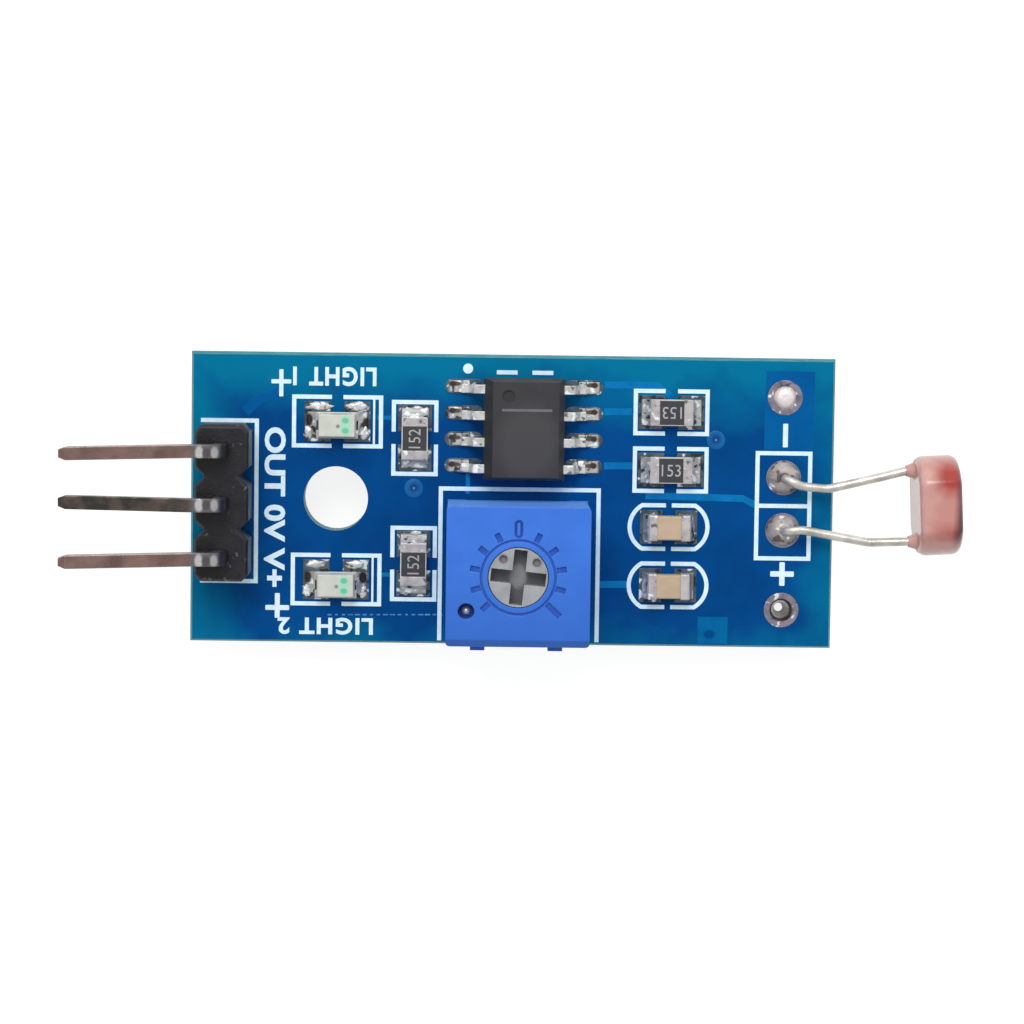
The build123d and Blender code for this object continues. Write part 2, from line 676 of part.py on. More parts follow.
# Light-emitting diodes: laminate base, half-round plated ends and a moulded lens
for name, (x, y, turn) in led_places.items():
    seat = seat_plane(x, y, turn)
    with BuildPart() as led_base:
        with BuildSketch(seat.offset(chip_metal)):
            Rectangle(chip_length - 2 * chip_metal, chip_width)
            with Locations((chip_length / 2, 0), (-chip_length / 2, 0)):
                Circle(led_notch_radius + chip_metal, mode=Mode.SUBTRACT)
        extrude(amount=led_base_height - 2 * chip_metal)
    led_base.part.label = f"{name}_base"
    export_step(led_base.part, f"parts/{name}_base.step")
    with BuildPart() as led_terminals:
        with BuildSketch(seat):
            Rectangle(chip_length, chip_width)
            Rectangle(chip_length - 2 * chip_band, chip_width, mode=Mode.SUBTRACT)
            with Locations((chip_length / 2, 0), (-chip_length / 2, 0)):
                Circle(led_notch_radius, mode=Mode.SUBTRACT)
        extrude(amount=led_base_height)
        add(led_base.part, mode=Mode.SUBTRACT)
    led_terminals.part.label = f"{name}_terminals"
    export_step(led_terminals.part, f"parts/{name}_terminals.step")
    with BuildPart() as led_lens:
        with BuildSketch(seat.offset(led_base_height)):
            RectangleRounded(led_lens_length, led_lens_width, capacitor_edge)
        extrude(amount=led_lens_height, taper=led_lens_angle)
        with BuildSketch(seat.offset(led_base_height - chip_metal)):
            Rectangle(chip_length - 2 * chip_band, led_lens_width)
        extrude(amount=chip_metal)
    led_lens.part.label = f"{name}_lens"
    export_step(led_lens.part, f"parts/{name}_lens.step")

# Sensor leads: round wire up through the board, bent over and out to the sensor
sensor_centre = (board_right + sensor_overhang, sensor_y, sensor_axis_height)
axis_direction = (cos(radians(sensor_yaw)), sin(radians(sensor_yaw)), 0)
across = (-axis_direction[1], axis_direction[0], 0)
sensor_plane = Plane(origin=sensor_centre, x_dir=across, z_dir=axis_direction)
lead_routes = (
    [(-1.65, 0.92, 2.42), (-0.4, 0.8, 2.42), (2.2, 1.43, 2.46)],
    [(-1.6, -1.18, 2.42), (1.6, -1.74, 2.46)],
)
route_radii = ([0.55, 1.0, 2.0, 2.0, 1.0], [0.55, 1.0, 2.0, 1.0])
lead_end = ceramic_depth + ceramic_thickness + track_thickness
sensor_leads = []
for number, (x, y) in enumerate(sensor_places):
    side = 1 if number == 0 else -1
    entry = sensor_plane.from_local_coords(Vector(side * sensor_lead_pitch / 2, 0, -sensor_cone_length))
    finish = sensor_plane.from_local_coords(Vector(side * sensor_lead_pitch / 2, 0, lead_end))
    with BuildPart() as sensor_lead:
        with BuildLine() as wire_path:
            FilletPolyline(
                (x, y, -lead_tail),
                (x, y, sensor_axis_height),
                *[(board_right + reach, y, z) for reach, y, z in lead_routes[number]],
                entry,
                finish,
                radius=route_radii[number],
            )
        with BuildSketch(Plane.XY.offset(-lead_tail)):
            with Locations((x, y)):
                Circle(sensor_lead_diameter / 2)
        sweep()
    sensor_lead.part.label = f"sensor_lead_{number + 1}"
    export_step(sensor_lead.part, f"parts/sensor_lead_{number + 1}.step")
    sensor_leads.append(sensor_lead.part)

# Sensor ceramic: a round plate with two flats, drilled for the leads
with BuildPart() as sensor_ceramic:
    with BuildSketch(sensor_plane.offset(ceramic_depth)):
        Circle(sensor_length / 2 - ceramic_margin)
        Rectangle(sensor_length, sensor_width - 2 * ceramic_margin, mode=Mode.INTERSECT)
    extrude(amount=ceramic_thickness)
    for sensor_lead in sensor_leads:
        add(sensor_lead, mode=Mode.SUBTRACT)
sensor_ceramic.part.label = "sensor_ceramic"
export_step(sensor_ceramic.part, "parts/sensor_ceramic.step")

# Sensing track: one folded film between the two leads on the ceramic's face
with BuildPart() as sensor_track:
    track_span = sensor_width - 2 * ceramic_margin - 2 * track_width
    track_step = (sensor_lead_pitch - 2 * sensor_lead_diameter) / track_runs
    with BuildSketch(sensor_plane.offset(ceramic_depth + ceramic_thickness)):
        for i in range(track_runs + 1):
            run_x = (i - track_runs / 2) * track_step
            with Locations((run_x, 0)):
                Rectangle(track_width, track_span)
            if i < track_runs:
                end_y = (track_span - track_width) / 2 * (1 if i % 2 else -1)
                with Locations((run_x + track_step / 2, end_y)):
                    Rectangle(track_step, track_width)
        Circle(sensor_length / 2 - ceramic_margin, mode=Mode.INTERSECT)
    extrude(amount=track_thickness)
    for sensor_lead in sensor_leads:
        add(sensor_lead, mode=Mode.SUBTRACT)
sensor_track.part.label = "sensor_track"
export_step(sensor_track.part, "parts/sensor_track.step")

# Sensor resin: the cast coat over the ceramic, drawn up in a cone round each lead
with BuildPart() as sensor_resin:
    with BuildSketch(sensor_plane.offset(sensor_rim)):
        Circle(sensor_length / 2)
        Rectangle(sensor_length, sensor_width, mode=Mode.INTERSECT)
    extrude(amount=sensor_thickness - 2 * sensor_rim)
    for end in (-1, 0):
        rim_face = sensor_resin.faces().sort_by(Axis(sensor_centre, axis_direction))[end]
        extrude(rim_face, amount=sensor_rim, taper=sensor_rim_angle)
    for side in (1, -1):
        with BuildSketch(sensor_plane.offset(-sensor_cone_length)):
            with Locations((side * sensor_lead_pitch / 2, 0)):
                Circle(sensor_lead_diameter / 2 + chip_metal)
        with BuildSketch(sensor_plane):
            with Locations((side * sensor_lead_pitch / 2, 0)):
                Circle(sensor_cone_radius)
        loft()
    for inner in (sensor_ceramic.part, sensor_track.part, *sensor_leads):
        add(inner, mode=Mode.SUBTRACT)
sensor_resin.part.label = "sensor_resin"
export_step(sensor_resin.part, "parts/sensor_resin.step")

# Through-hole solder: a plug in each barrel with a hollow-sided cone under the board
def solder_profile(ring, bore, neck, collar):
    Line((0, -joint_height), (neck, -joint_height))
    below = (neck + (ring - neck) / 4, -copper - (joint_height - copper) / 4)
    Polyline((neck, -joint_height), below, (ring, -copper))
    if collar > 0:
        Polyline((ring, -copper), (bore, -copper), (bore, deck), (ring, deck))
        above = (neck + (ring - neck) / 2, deck + collar * 0.62)
        ThreePointArc((ring, deck), above, (neck, deck + collar))
        Polyline((neck, deck + collar), (0, deck + collar), (0, -joint_height))
    else:
        Polyline((ring, -copper), (bore, -copper), (bore, deck), (0, deck), (0, -joint_height))


pin_corner = pin_size / sqrt(2) + abs(header_slip)
terminal_radius = trimmer_pin_diameter / 2 + abs(trimmer_slip)
wire_radius = sensor_lead_diameter / 2
solder_sets = (
    ("header_solder", header_places, header_pins, header_ring, header_bore, pin_corner, 0),
    ("trimmer_solder", trimmer_places, trimmer_pins, trimmer_ring, trimmer_bore, terminal_radius, 0),
    ("sensor_solder", sensor_places, sensor_leads, sensor_ring, sensor_bore, wire_radius, collar_height),
)
for name, places, wires, ring, bore, core, collar in solder_sets:
    with BuildPart() as through_solder:
        for x, y in places:
            with BuildSketch(side_plane(x, y, 0, 0)):
                with BuildLine():
                    solder_profile(ring - solder_skin, bore, core + solder_skin, collar)
                make_face()
            revolve(axis=Axis((x, y, 0), (0, 0, 1)))
        for wire in wires:
            add(wire, mode=Mode.SUBTRACT)
        if name == "sensor_solder":
            x, y = spare_places[0]
            dome_top = deck + dome_height
            with BuildSketch(side_plane(x, y, 0, 0)):
                with BuildLine():
                    Polyline((bore, deck), (bore, -copper), (0, -copper - dome_height), (0, dome_top))
                    dome_shoulder = (bore * sin(radians(45)), deck + dome_height * sin(radians(45)))
                    ThreePointArc((0, dome_top), dome_shoulder, (bore, deck))
                make_face()
            revolve(axis=Axis((x, y, 0), (0, 0, 1)))
    through_solder.part.label = name
    export_step(through_solder.part, f"parts/{name}.step")

# Chip solder: a hollow fillet from each pad's end up to the chip's metal
chip_heights = {"led": led_base_height, "resistor": resistor_height, "capacitor": capacitor_height}
with BuildPart() as chip_solder:
    for name, (x, y, turn) in chip_places.items():
        kind = name.split("_")[0]
        rise = chip_heights[kind] * solder_rise_ratio
        slip = led_slips.get(name, 0)
        half_length = chip_length / 2
        reach = chip_pads[kind][1] - chip_solder_margin
        for end in (0, 180):
            with BuildSketch(side_plane(x, y - slip / 2, deck, turn + end)):
                with BuildLine():
                    Polyline((reach, 0), (half_length, 0), (half_length, rise))
                    hollow = (half_length + (reach - half_length) * solder_hollow[0], rise * solder_hollow[1])
                    ThreePointArc((half_length, rise), hollow, (reach, 0))
                make_face()
            extrude(amount=(chip_width - abs(slip)) / 2, both=True)
chip_solder.part.label = "chip_solder"
export_step(chip_solder.part, "parts/chip_solder.step")

# Comparator solder: a bed on each pad that climbs the foot's tip and sides
with BuildPart() as comparator_solder:
    heel = shoulder_x + comparator_slope
    toe = comparator_lead_span / 2
    reach = comparator_pad_reach - solder_skin
    bed = comparator_lead_thickness * 0.7
    crest = comparator_lead_thickness * 1.15
    for y in comparator_rows:
        for turn in (0, 180):
            with BuildSketch(side_plane(comparator_x, y, deck, turn)):
                with BuildLine():
                    Polyline((reach, 0), (heel, 0), (heel, bed), (toe - solder_skin, bed))
                    Line((toe - solder_skin, bed), (toe, crest))
                    hollow = (toe + (reach - toe) * 0.4, crest * 0.3)
                    ThreePointArc((toe, crest), hollow, (reach, 0))
                make_face()
            extrude(amount=comparator_pad_width / 2 - solder_skin, both=True)
    for comparator_lead in comparator_leads:
        add(comparator_lead, mode=Mode.SUBTRACT)
comparator_solder.part.label = "comparator_solder"
export_step(comparator_solder.part, "parts/comparator_solder.step")
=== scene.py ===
import json
from math import cos, pi, radians, sin, sqrt
import bmesh
import bpy
from mathutils import Matrix, Vector, noise


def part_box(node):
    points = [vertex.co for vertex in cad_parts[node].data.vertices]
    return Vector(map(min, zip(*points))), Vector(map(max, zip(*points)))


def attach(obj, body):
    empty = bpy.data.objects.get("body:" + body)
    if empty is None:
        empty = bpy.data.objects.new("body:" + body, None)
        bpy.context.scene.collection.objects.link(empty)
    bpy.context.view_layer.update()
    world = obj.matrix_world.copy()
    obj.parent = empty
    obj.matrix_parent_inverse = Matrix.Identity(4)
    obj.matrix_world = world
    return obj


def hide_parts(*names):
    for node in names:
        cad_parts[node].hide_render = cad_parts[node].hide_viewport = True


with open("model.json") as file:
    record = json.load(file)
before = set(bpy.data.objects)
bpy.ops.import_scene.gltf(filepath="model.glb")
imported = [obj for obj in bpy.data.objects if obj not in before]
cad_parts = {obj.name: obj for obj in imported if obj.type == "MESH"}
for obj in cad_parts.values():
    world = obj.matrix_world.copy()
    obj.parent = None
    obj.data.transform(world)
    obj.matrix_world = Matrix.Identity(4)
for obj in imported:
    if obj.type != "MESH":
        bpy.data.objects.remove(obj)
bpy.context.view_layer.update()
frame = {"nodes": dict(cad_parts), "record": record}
nodes = frame["nodes"]
recordSlots = {piece["node"]: piece["material_slot"] for piece in frame["record"]["subparts"]}
mm = 0.001  # places and sizes below are in millimetres, as in the part's source
boardTop = 1.6


def paint(code):
    # a colour as it looks, turned into the linear values that a shader reads
    channels = [int(code[i:i + 2], 16) / 255 for i in (1, 3, 5)]
    return [c / 12.92 if c <= 0.04045 else ((c + 0.055) / 1.055) ** 2.4 for c in channels] + [1]


def addNode(tree, kind, values=None, **settings):
    # values go to the node's sockets, as plain values or as links from other sockets
    node = tree.nodes.new("ShaderNode" + kind)
    for name, value in settings.items():
        setattr(node, name, value)
    for socket, value in (values or {}).items():
        if isinstance(value, bpy.types.NodeSocket):
            tree.links.new(value, node.inputs[socket])
        else:
            node.inputs[socket].default_value = value
    return node


def calc(tree, operation, *values):
    return addNode(tree, "Math", dict(enumerate(values)), operation=operation).outputs[0]


def ramp(tree, value, start, end, least=0.0, most=1.0):
    # goes from least to most while the value goes from start to end
    values = {"Value": value, "From Min": start, "From Max": end, "To Min": least, "To Max": most}
    return addNode(tree, "MapRange", values).outputs[0]


def blend(tree, share, under, over):
    return addNode(tree, "Mix", {0: share, 6: under, 7: over}, data_type="RGBA").outputs[2]


def cloud(tree, place, scale, detail):
    return addNode(tree, "TexNoise", {"Vector": place, "Scale": scale, "Detail": detail}).outputs["Fac"]


def inMillimetres(tree):
    # the place on the object, which stays with it as it moves
    place = addNode(tree, "TexCoord").outputs["Object"]
    return addNode(tree, "VectorMath", {0: place, "Scale": 1 / mm}, operation="SCALE").outputs[0]


def split(tree, vector):
    # the outputs X, Y and Z of a place or direction
    return addNode(tree, "SeparateXYZ", {0: vector}).outputs


def upwardShare(tree):
    # 1 on faces that look straight up and 0 on upright ones
    return split(tree, addNode(tree, "NewGeometry").outputs["Normal"])["Z"]


def startGroup(name, inputs, outputs):
    group = bpy.data.node_groups.new(name, "ShaderNodeTree")
    for label, kind, value in inputs:
        socket = group.interface.new_socket(label, in_out="INPUT", socket_type="NodeSocket" + kind)
        socket.default_value = value
    for label, kind in outputs:
        group.interface.new_socket(label, in_out="OUTPUT", socket_type="NodeSocket" + kind)
    return group, group.nodes.new("NodeGroupInput").outputs, group.nodes.new("NodeGroupOutput").inputs


def buildGrainGroup():
    # patchy tone and a fine bump, both fixed to the object
    group, given, result = startGroup(
        "fineGrain",
        [("Base", "Color", (0.5, 0.5, 0.5, 1)), ("Patch", "Color", (0.4, 0.4, 0.4, 1)),
         ("Patch Scale", "Float", 1.0), ("Amount", "Float", 0.5), ("Bump Scale", "Float", 12.0)],
        [("Color", "Color"), ("Height", "Float")],
    )
    place = inMillimetres(group)
    patches = ramp(group, cloud(group, place, given["Patch Scale"], 3.0), 0.35, 0.65)
    share = calc(group, "MULTIPLY", patches, given["Amount"])
    group.links.new(blend(group, share, given["Base"], given["Patch"]), result["Color"])
    group.links.new(cloud(group, place, given["Bump Scale"], 2.0), result["Height"])
    return group


def buildEdgeHighlightGroup():
    # edges that look rounded, with a painted highlight in a colour of their own
    group, given, result = startGroup(
        "edgeHighlight",
        [("Color", "Color", (0.5, 0.5, 0.5, 1)), ("Edge Highlight", "Color", (0.8, 0.8, 0.8, 1)),
         ("Radius", "Float", 0.05 * mm), ("Amount", "Float", 0.5)],
        [("Color", "Color"), ("Normal", "Vector")],
    )
    rounded = addNode(group, "Bevel", {"Radius": given["Radius"]}, samples=4).outputs[0]
    flat = addNode(group, "NewGeometry").outputs["Normal"]
    alike = addNode(group, "VectorMath", {0: rounded, 1: flat}, operation="DOT_PRODUCT").outputs["Value"]
    share = calc(group, "MULTIPLY", ramp(group, alike, 0.995, 0.8), given["Amount"])
    group.links.new(blend(group, share, given["Color"], given["Edge Highlight"]), result["Color"])
    group.links.new(rounded, result["Normal"])
    return group


def buildSpeckGroup():
    # small dark spots and bright painted glints, as on tinned and soldered metal
    blur = 0.06
    group, given, result = startGroup(
        "metalSpecksAndGlints",
        [("Color", "Color", (0.5, 0.5, 0.5, 1)), ("Dark", "Color", (0.1, 0.1, 0.1, 1)),
         ("Bright", "Color", (0.9, 0.9, 0.9, 1)), ("Scale", "Float", 5.0),
         ("Dark Share", "Float", 0.4), ("Glint Share", "Float", 0.6)],
        [("Color", "Color")],
    )
    spots = cloud(group, inMillimetres(group), given["Scale"], 1.5)
    dark = ramp(group, spots, given["Dark Share"], calc(group, "SUBTRACT", given["Dark Share"], blur))
    paintedGlint = ramp(group, spots, given["Glint Share"], calc(group, "ADD", given["Glint Share"], blur))
    darkened = blend(group, dark, given["Color"], given["Dark"])
    group.links.new(blend(group, paintedGlint, darkened, given["Bright"]), result["Color"])
    return group


grainGroup = buildGrainGroup()
edgeHighlightGroup = buildEdgeHighlightGroup()
speckGroup = buildSpeckGroup()


def makeFinish(name, base, patch, patchScale, amount, bumpScale, bump, edge=None, specks=None, **values):
    # edge: colour, radius and amount of a painted highlight on edges; specks: dark, painted glint, scale, and
    # the ends of the dark and glint shares
    material = bpy.data.materials.new(name)
    material.use_nodes = True
    tree = material.node_tree
    shader = tree.nodes["Principled BSDF"]
    grainValues = {"Base": paint(base), "Patch": paint(patch), "Patch Scale": patchScale, "Amount": amount,
                   "Bump Scale": bumpScale}
    grain = addNode(tree, "Group", grainValues, node_tree=grainGroup).outputs
    relief = addNode(tree, "Bump", {"Height": grain["Height"], "Strength": 0.6, "Distance": bump * mm})
    tree.links.new(relief.outputs[0], shader.inputs["Normal"])
    colour = grain["Color"]
    # dark spots and painted bright glints
    if specks:
        dark, paintedGlint, scale, darkShare, glintShare = specks
        speckValues = {"Color": colour, "Dark": paint(dark), "Bright": paint(paintedGlint), "Scale": scale,
                       "Dark Share": darkShare, "Glint Share": glintShare}
        colour = addNode(tree, "Group", speckValues, node_tree=speckGroup).outputs["Color"]
    # a painted highlight on edges that look rounded
    if edge:
        highlightColour, radius, highlightAmount = edge
        highlightValues = {"Color": colour, "Edge Highlight": paint(highlightColour), "Radius": radius * mm,
                      "Amount": highlightAmount}
        edgeHighlights = addNode(tree, "Group", highlightValues, node_tree=edgeHighlightGroup).outputs
        tree.links.new(edgeHighlights["Normal"], relief.inputs["Normal"])
        colour = edgeHighlights["Color"]
    tree.links.new(colour, shader.inputs["Base Color"])
    for socket, value in values.items():
        shader.inputs[socket.replace("_", " ")].default_value = value
    return material


def recolour(material, mask, colour):
    # lays a second colour over what reaches Base Color, where the mask is 1
    tree = material.node_tree
    target = tree.nodes["Principled BSDF"].inputs["Base Color"]
    before = target.links[0].from_socket
    tree.links.new(blend(tree, mask, before, paint(colour)), target)


spotRim = {"outer": 1.15, "inner": 0.7}  # where a spot starts and is full, in shares of its radius


def spotMask(tree, place, centre, radius, stretch=1.0):
    # 1 inside a soft-edged round spot seen from above
    squares = []
    for axis, value, factor in (("X", centre[0], 1.0), ("Y", centre[1], stretch)):
        offset = calc(tree, "MULTIPLY", calc(tree, "SUBTRACT", place[axis], value), factor)
        squares.append(calc(tree, "POWER", offset, 2.0))
    distance = calc(tree, "SQRT", calc(tree, "ADD", *squares))
    return ramp(tree, distance, radius * spotRim["outer"], radius * spotRim["inner"])


def addSpots(material, spots):
    # round spots given as (x, y, radius, colour, stretch)
    tree = material.node_tree
    place = split(tree, inMillimetres(tree))
    for x, y, radius, colour, stretch in spots:
        recolour(material, spotMask(tree, place, (x, y), radius, stretch), colour)


def floorMask(tree, low, high, level=0.9):
    # 1 on level faces whose height lies between the two, such as the floor of a recess
    height = split(tree, inMillimetres(tree))["Z"]
    above = calc(tree, "GREATER_THAN", height, low)
    below = calc(tree, "LESS_THAN", height, high)
    flat = calc(tree, "GREATER_THAN", upwardShare(tree), level)
    return calc(tree, "MULTIPLY", calc(tree, "MULTIPLY", above, below), flat)


def facingMask(tree, axis, least):
    # 1 on faces whose normal leans along the axis by at least the given share
    normal = addNode(tree, "NewGeometry").outputs["Normal"]
    along = addNode(tree, "VectorMath", {0: normal, 1: axis}, operation="DOT_PRODUCT").outputs["Value"]
    return calc(tree, "GREATER_THAN", along, least)


print("finishes")

board = {
    "copperBlue": "#024889", "copperShade": "#023C76", "bareBlue": "#026F96",
    "pourCentre": (8.95, -1.15), "pourHalf": (13.85, 5.75),  # the copper area under the mask
    "pourBlur": 1.8, "pourWander": 4.0, "wanderScale": 0.45,  # how softly and unevenly it ends
    "laminate": "#2B7E8E", "fibre": "#5FA5A4", "steepest": 0.6,  # the cut edge and the glass fibres in it
    "layering": (1.2, 1.2, 9.0), "fibreRange": (0.42, 0.62), "fibreMost": 0.55,
}
maskFinish = makeFinish("solderMask", board["copperBlue"], board["copperShade"], 0.35, 0.8, 3.0, 0.004,
                        Roughness=0.36, Specular_IOR_Level=0.03)
tree = maskFinish.node_tree
where = inMillimetres(tree)
place = split(tree, where)
beyond = []
for axis, centre, half in zip("XY", board["pourCentre"], board["pourHalf"]):
    distance = calc(tree, "ABSOLUTE", calc(tree, "SUBTRACT", place[axis], centre))
    beyond.append(calc(tree, "SUBTRACT", distance, half))
wander = cloud(tree, where, board["wanderScale"], 2.0)
drift = calc(tree, "MULTIPLY_ADD", wander, board["pourWander"], calc(tree, "MAXIMUM", *beyond))
shore = board["pourWander"] / 2
bare = ramp(tree, drift, shore - board["pourBlur"] / 2, shore + board["pourBlur"])
recolour(maskFinish, bare, board["bareBlue"])
cutEdge = calc(tree, "LESS_THAN", calc(tree, "ABSOLUTE", upwardShare(tree)), board["steepest"])
recolour(maskFinish, cutEdge, board["laminate"])
layered = addNode(tree, "VectorMath", {0: where, 1: board["layering"]}, operation="MULTIPLY").outputs[0]
fibres = ramp(tree, cloud(tree, layered, 1.0, 3.0), *board["fibreRange"], most=board["fibreMost"])
recolour(maskFinish, calc(tree, "MULTIPLY", cutEdge, fibres), board["fibre"])

# colours, scale and amount of the patches, scale and depth of the bump, then painted edge highlights, specks
# with painted glints and shader values
finishes = {
    "solder_mask": maskFinish,
    "tinned_copper": makeFinish(
        "tinnedCopper", "#948C98", "#655F70", 1.6, 0.8, 9.0, 0.02, edge=("#C9C4CC", 0.05, 0.4),
        specks=("#4E4A5A", "#E8E6EA", 2.6, 0.4, 0.64), Metallic=0.6, Roughness=0.32),
    "white_ink": makeFinish(
        "whiteInk", "#DDF2FC", "#C4E1F1", 2.5, 0.6, 20.0, 0.01, Roughness=0.6, Specular_IOR_Level=0.2),
    "black_nylon": makeFinish(
        "blackNylon", "#1B1A20", "#0D0D11", 1.6, 0.8, 8.0, 0.03, edge=("#4A4A56", 0.1, 0.7),
        specks=("#0A0A0E", "#5C5C66", 2.8, 0.36, 0.66), Roughness=0.36, Specular_IOR_Level=0.35),
    "tinned_brass": makeFinish(
        "tinnedBrass", "#8A7168", "#5F4C47", 0.9, 0.7, 6.0, 0.02, edge=("#EDE2DC", 0.1, 0.7),
        Metallic=0.8, Roughness=0.34),
    "blue_housing": makeFinish(
        "blueHousing", "#3B74D8", "#336AC9", 0.8, 0.5, 14.0, 0.015, edge=("#5E94EE", 0.09, 0.6),
        Roughness=0.42, Specular_IOR_Level=0.2),
    "grey_potting": makeFinish("greyPotting", "#7A7A7C", "#66666A", 2.0, 0.6, 8.0, 0.03, Roughness=0.7),
    "white_ceramic": makeFinish("whiteCeramic", "#DAD8D2", "#C8C5BD", 2.0, 0.5, 10.0, 0.01, Roughness=0.5),
    "grey_rotor": makeFinish(
        "greyRotor", "#9DA1A4", "#888A92", 1.1, 0.8, 10.0, 0.02, edge=("#C6CACB", 0.06, 0.6),
        Roughness=0.45, Specular_IOR_Level=0.3),
    "seal_rubber": makeFinish("sealRubber", "#262626", "#1C1C1C", 2.0, 0.5, 12.0, 0.01, Roughness=0.7),
    "spring_brass": makeFinish(
        "springBrass", "#C9A869", "#B08F52", 1.5, 0.5, 8.0, 0.01, Metallic=1.0, Roughness=0.3),
    "tinned_wire": makeFinish(
        "tinnedWire", "#DAD7CF", "#A69F94", 1.1, 0.8, 10.0, 0.015, Metallic=0.65, Roughness=0.3),
    "black_epoxy": makeFinish(
        "blackEpoxy", "#313033", "#2A2A2D", 0.9, 0.7, 16.0, 0.02, edge=("#525154", 0.08, 0.6),
        Roughness=0.6, Specular_IOR_Level=0.4),
    "tinned_strip": makeFinish(
        "tinnedStrip", "#DEDEDC", "#A5A5A3", 1.8, 0.7, 9.0, 0.02, edge=("#FFFFFF", 0.07, 0.5),
        specks=("#77736F", "#FFFFFF", 2.6, 0.36, 0.6), Metallic=0.5, Roughness=0.28),
    "resistor_coat": makeFinish("resistorCoat", "#353438", "#2A292D", 2.0, 0.6, 14.0, 0.01, Roughness=0.4),
    "chip_metal": makeFinish(
        "chipMetal", "#C6C2C3", "#979191", 1.8, 0.7, 10.0, 0.025, edge=("#F4F4F4", 0.06, 0.5),
        specks=("#6E6968", "#EFEFEF", 2.6, 0.36, 0.64), Metallic=0.45, Roughness=0.32),
    "tan_ceramic": makeFinish(
        "tanCeramic", "#BEA78C", "#B1997C", 1.4, 0.6, 12.0, 0.01, edge=("#CFBCA4", 0.08, 0.5),
        Roughness=0.45),
    "led_laminate": makeFinish("ledLaminate", "#D9DACB", "#C4C6B6", 2.0, 0.5, 12.0, 0.01, Roughness=0.5),
    "sensor_film": makeFinish("sensorFilm", "#A02A22", "#8A1F1A", 2.0, 0.6, 12.0, 0.01, Roughness=0.5),
    "solder": makeFinish(
        "solder", "#C6C6C4", "#939594", 2.2, 0.7, 7.0, 0.04, edge=("#FFFFFF", 0.06, 0.5),
        specks=("#3A4042", "#FFFFFF", 2.4, 0.41, 0.57), Metallic=0.5, Roughness=0.26),
}
nodeFinishes = {  # pieces that differ from the rest of their slot
    "surface_pads": makeFinish(
        "padMetal", "#57646E", "#33414C", 1.6, 0.8, 9.0, 0.03, edge=("#8FA2AC", 0.04, 0.4),
        specks=("#1C282E", "#D5DEE2", 2.2, 0.43, 0.61), Metallic=0.5, Roughness=0.32),
    "sensor_solder": makeFinish(
        "jointSolder", "#BDB5B2", "#8D8480", 1.6, 0.8, 7.0, 0.04, edge=("#F4ECE8", 0.08, 0.4),
        specks=("#675C58", "#FFFFFF", 2.0, 0.4, 0.62), Metallic=0.45, Roughness=0.28),
}

housing = {
    "shadedRecesses": [(6.35, 6.46, "#2350AE"), (5.5, 6.3, "#14254C")],  # painted shade on the floors of the ticks and the bead hole
    "hubCentre": (8.76, -3.27), "hubRadius": 1.86,  # no painted recess shade inside this
    "lowerShadeRange": (-1.5, -6.6), "lowerShadeMost": 0.7, "lowerShade": "#2A5DB4",  # painted shade, darker towards the board's edge
}
housingFinish = finishes["blue_housing"]
tree = housingFinish.node_tree
place = split(tree, inMillimetres(tree))
outsideHub = calc(tree, "SUBTRACT", 1.0, spotMask(tree, place, housing["hubCentre"], housing["hubRadius"]))
# painted shade on the floors of the recesses
for low, high, colour in housing["shadedRecesses"]:
    recolour(housingFinish, calc(tree, "MULTIPLY", floorMask(tree, low, high), outsideHub), colour)
# painted shade, darker towards the board's edge
lower = ramp(tree, place["Y"], *housing["lowerShadeRange"], most=housing["lowerShadeMost"])
recolour(housingFinish, lower, housing["lowerShade"])

rotor = {
    "slotFloor": (5.0, 6.3), "slotShade": "#5E5D64",
    "spots": [(8.76, -3.27, 0.42, "#848688", 0.7),
              (8.04, -2.39, 0.26, "#857E8A", 1.0), (9.64, -2.55, 0.26, "#7F8082", 1.0)],  # hub and two pits
}
rotorFinish = finishes["grey_rotor"]
# painted shade on the floors of the rotor's slots
recolour(rotorFinish, floorMask(rotorFinish.node_tree, *rotor["slotFloor"]), rotor["slotShade"])
addSpots(rotorFinish, rotor["spots"])

# the paler middle of the comparator and its dimple
bodySpots = [(9.15, 2.9, 1.5, "#3C3B3D", 0.8), (8.24, 5.06, 0.31, "#27272A", 1.0)]
addSpots(finishes["black_epoxy"], bodySpots)
sideLightAndShade = {  # painted light and shade on faces that look along one axis: slot, the axis, its least share, colour
    "comparatorLeftShade": ("black_epoxy", (-1, 0, 0), 0.3, "#232527"),
    "headerRightHighlight": ("black_nylon", (1, 0, 0), 0.8, "#424953"),
    "housingBackHighlight": ("blue_housing", (0, 1, 0), 0.5, "#5A93EA"),
}
# painted light or shade on each side by the way it faces
for slotName, axis, least, colour in sideLightAndShade.values():
    recolour(finishes[slotName], facingMask(finishes[slotName].node_tree, axis, least), colour)

joints = {  # dark spots in the solder and a painted highlight on the sensor's joint, and the look of each kind
    # the first spot is a painted highlight on the joint's dome
    "sensor": [(21.55, 5.13, 0.5, "#EFE3E4", 1.0), (21.5, 1.32, 0.27, "#5E524D", 1.0)],
    "notchPlaces": [(-1.32, 3.78), (1.44, 3.62), (-1.32, -3.8), (1.34, -3.8)],  # at the ends of the lamps
    "notch": (0.21, "#3A3331", 0.62),
    "leadRows": [5.6, 4.31, 3.02, 1.73],
    "toes": [((5.72, 12.2), 0.3, "#5B504B", 2.6), ((5.56, 12.38), 0.17, "#3E3431", 1.1)],  # on each row
}
addSpots(nodeFinishes["sensor_solder"], joints["sensor"])
notches = [(x, y, *joints["notch"]) for x, y in joints["notchPlaces"]]
toes = [(x, y, *look) for places, *look in joints["toes"] for y in joints["leadRows"] for x in places]
addSpots(finishes["solder"], notches + toes)
addSpots(nodeFinishes["surface_pads"], notches)

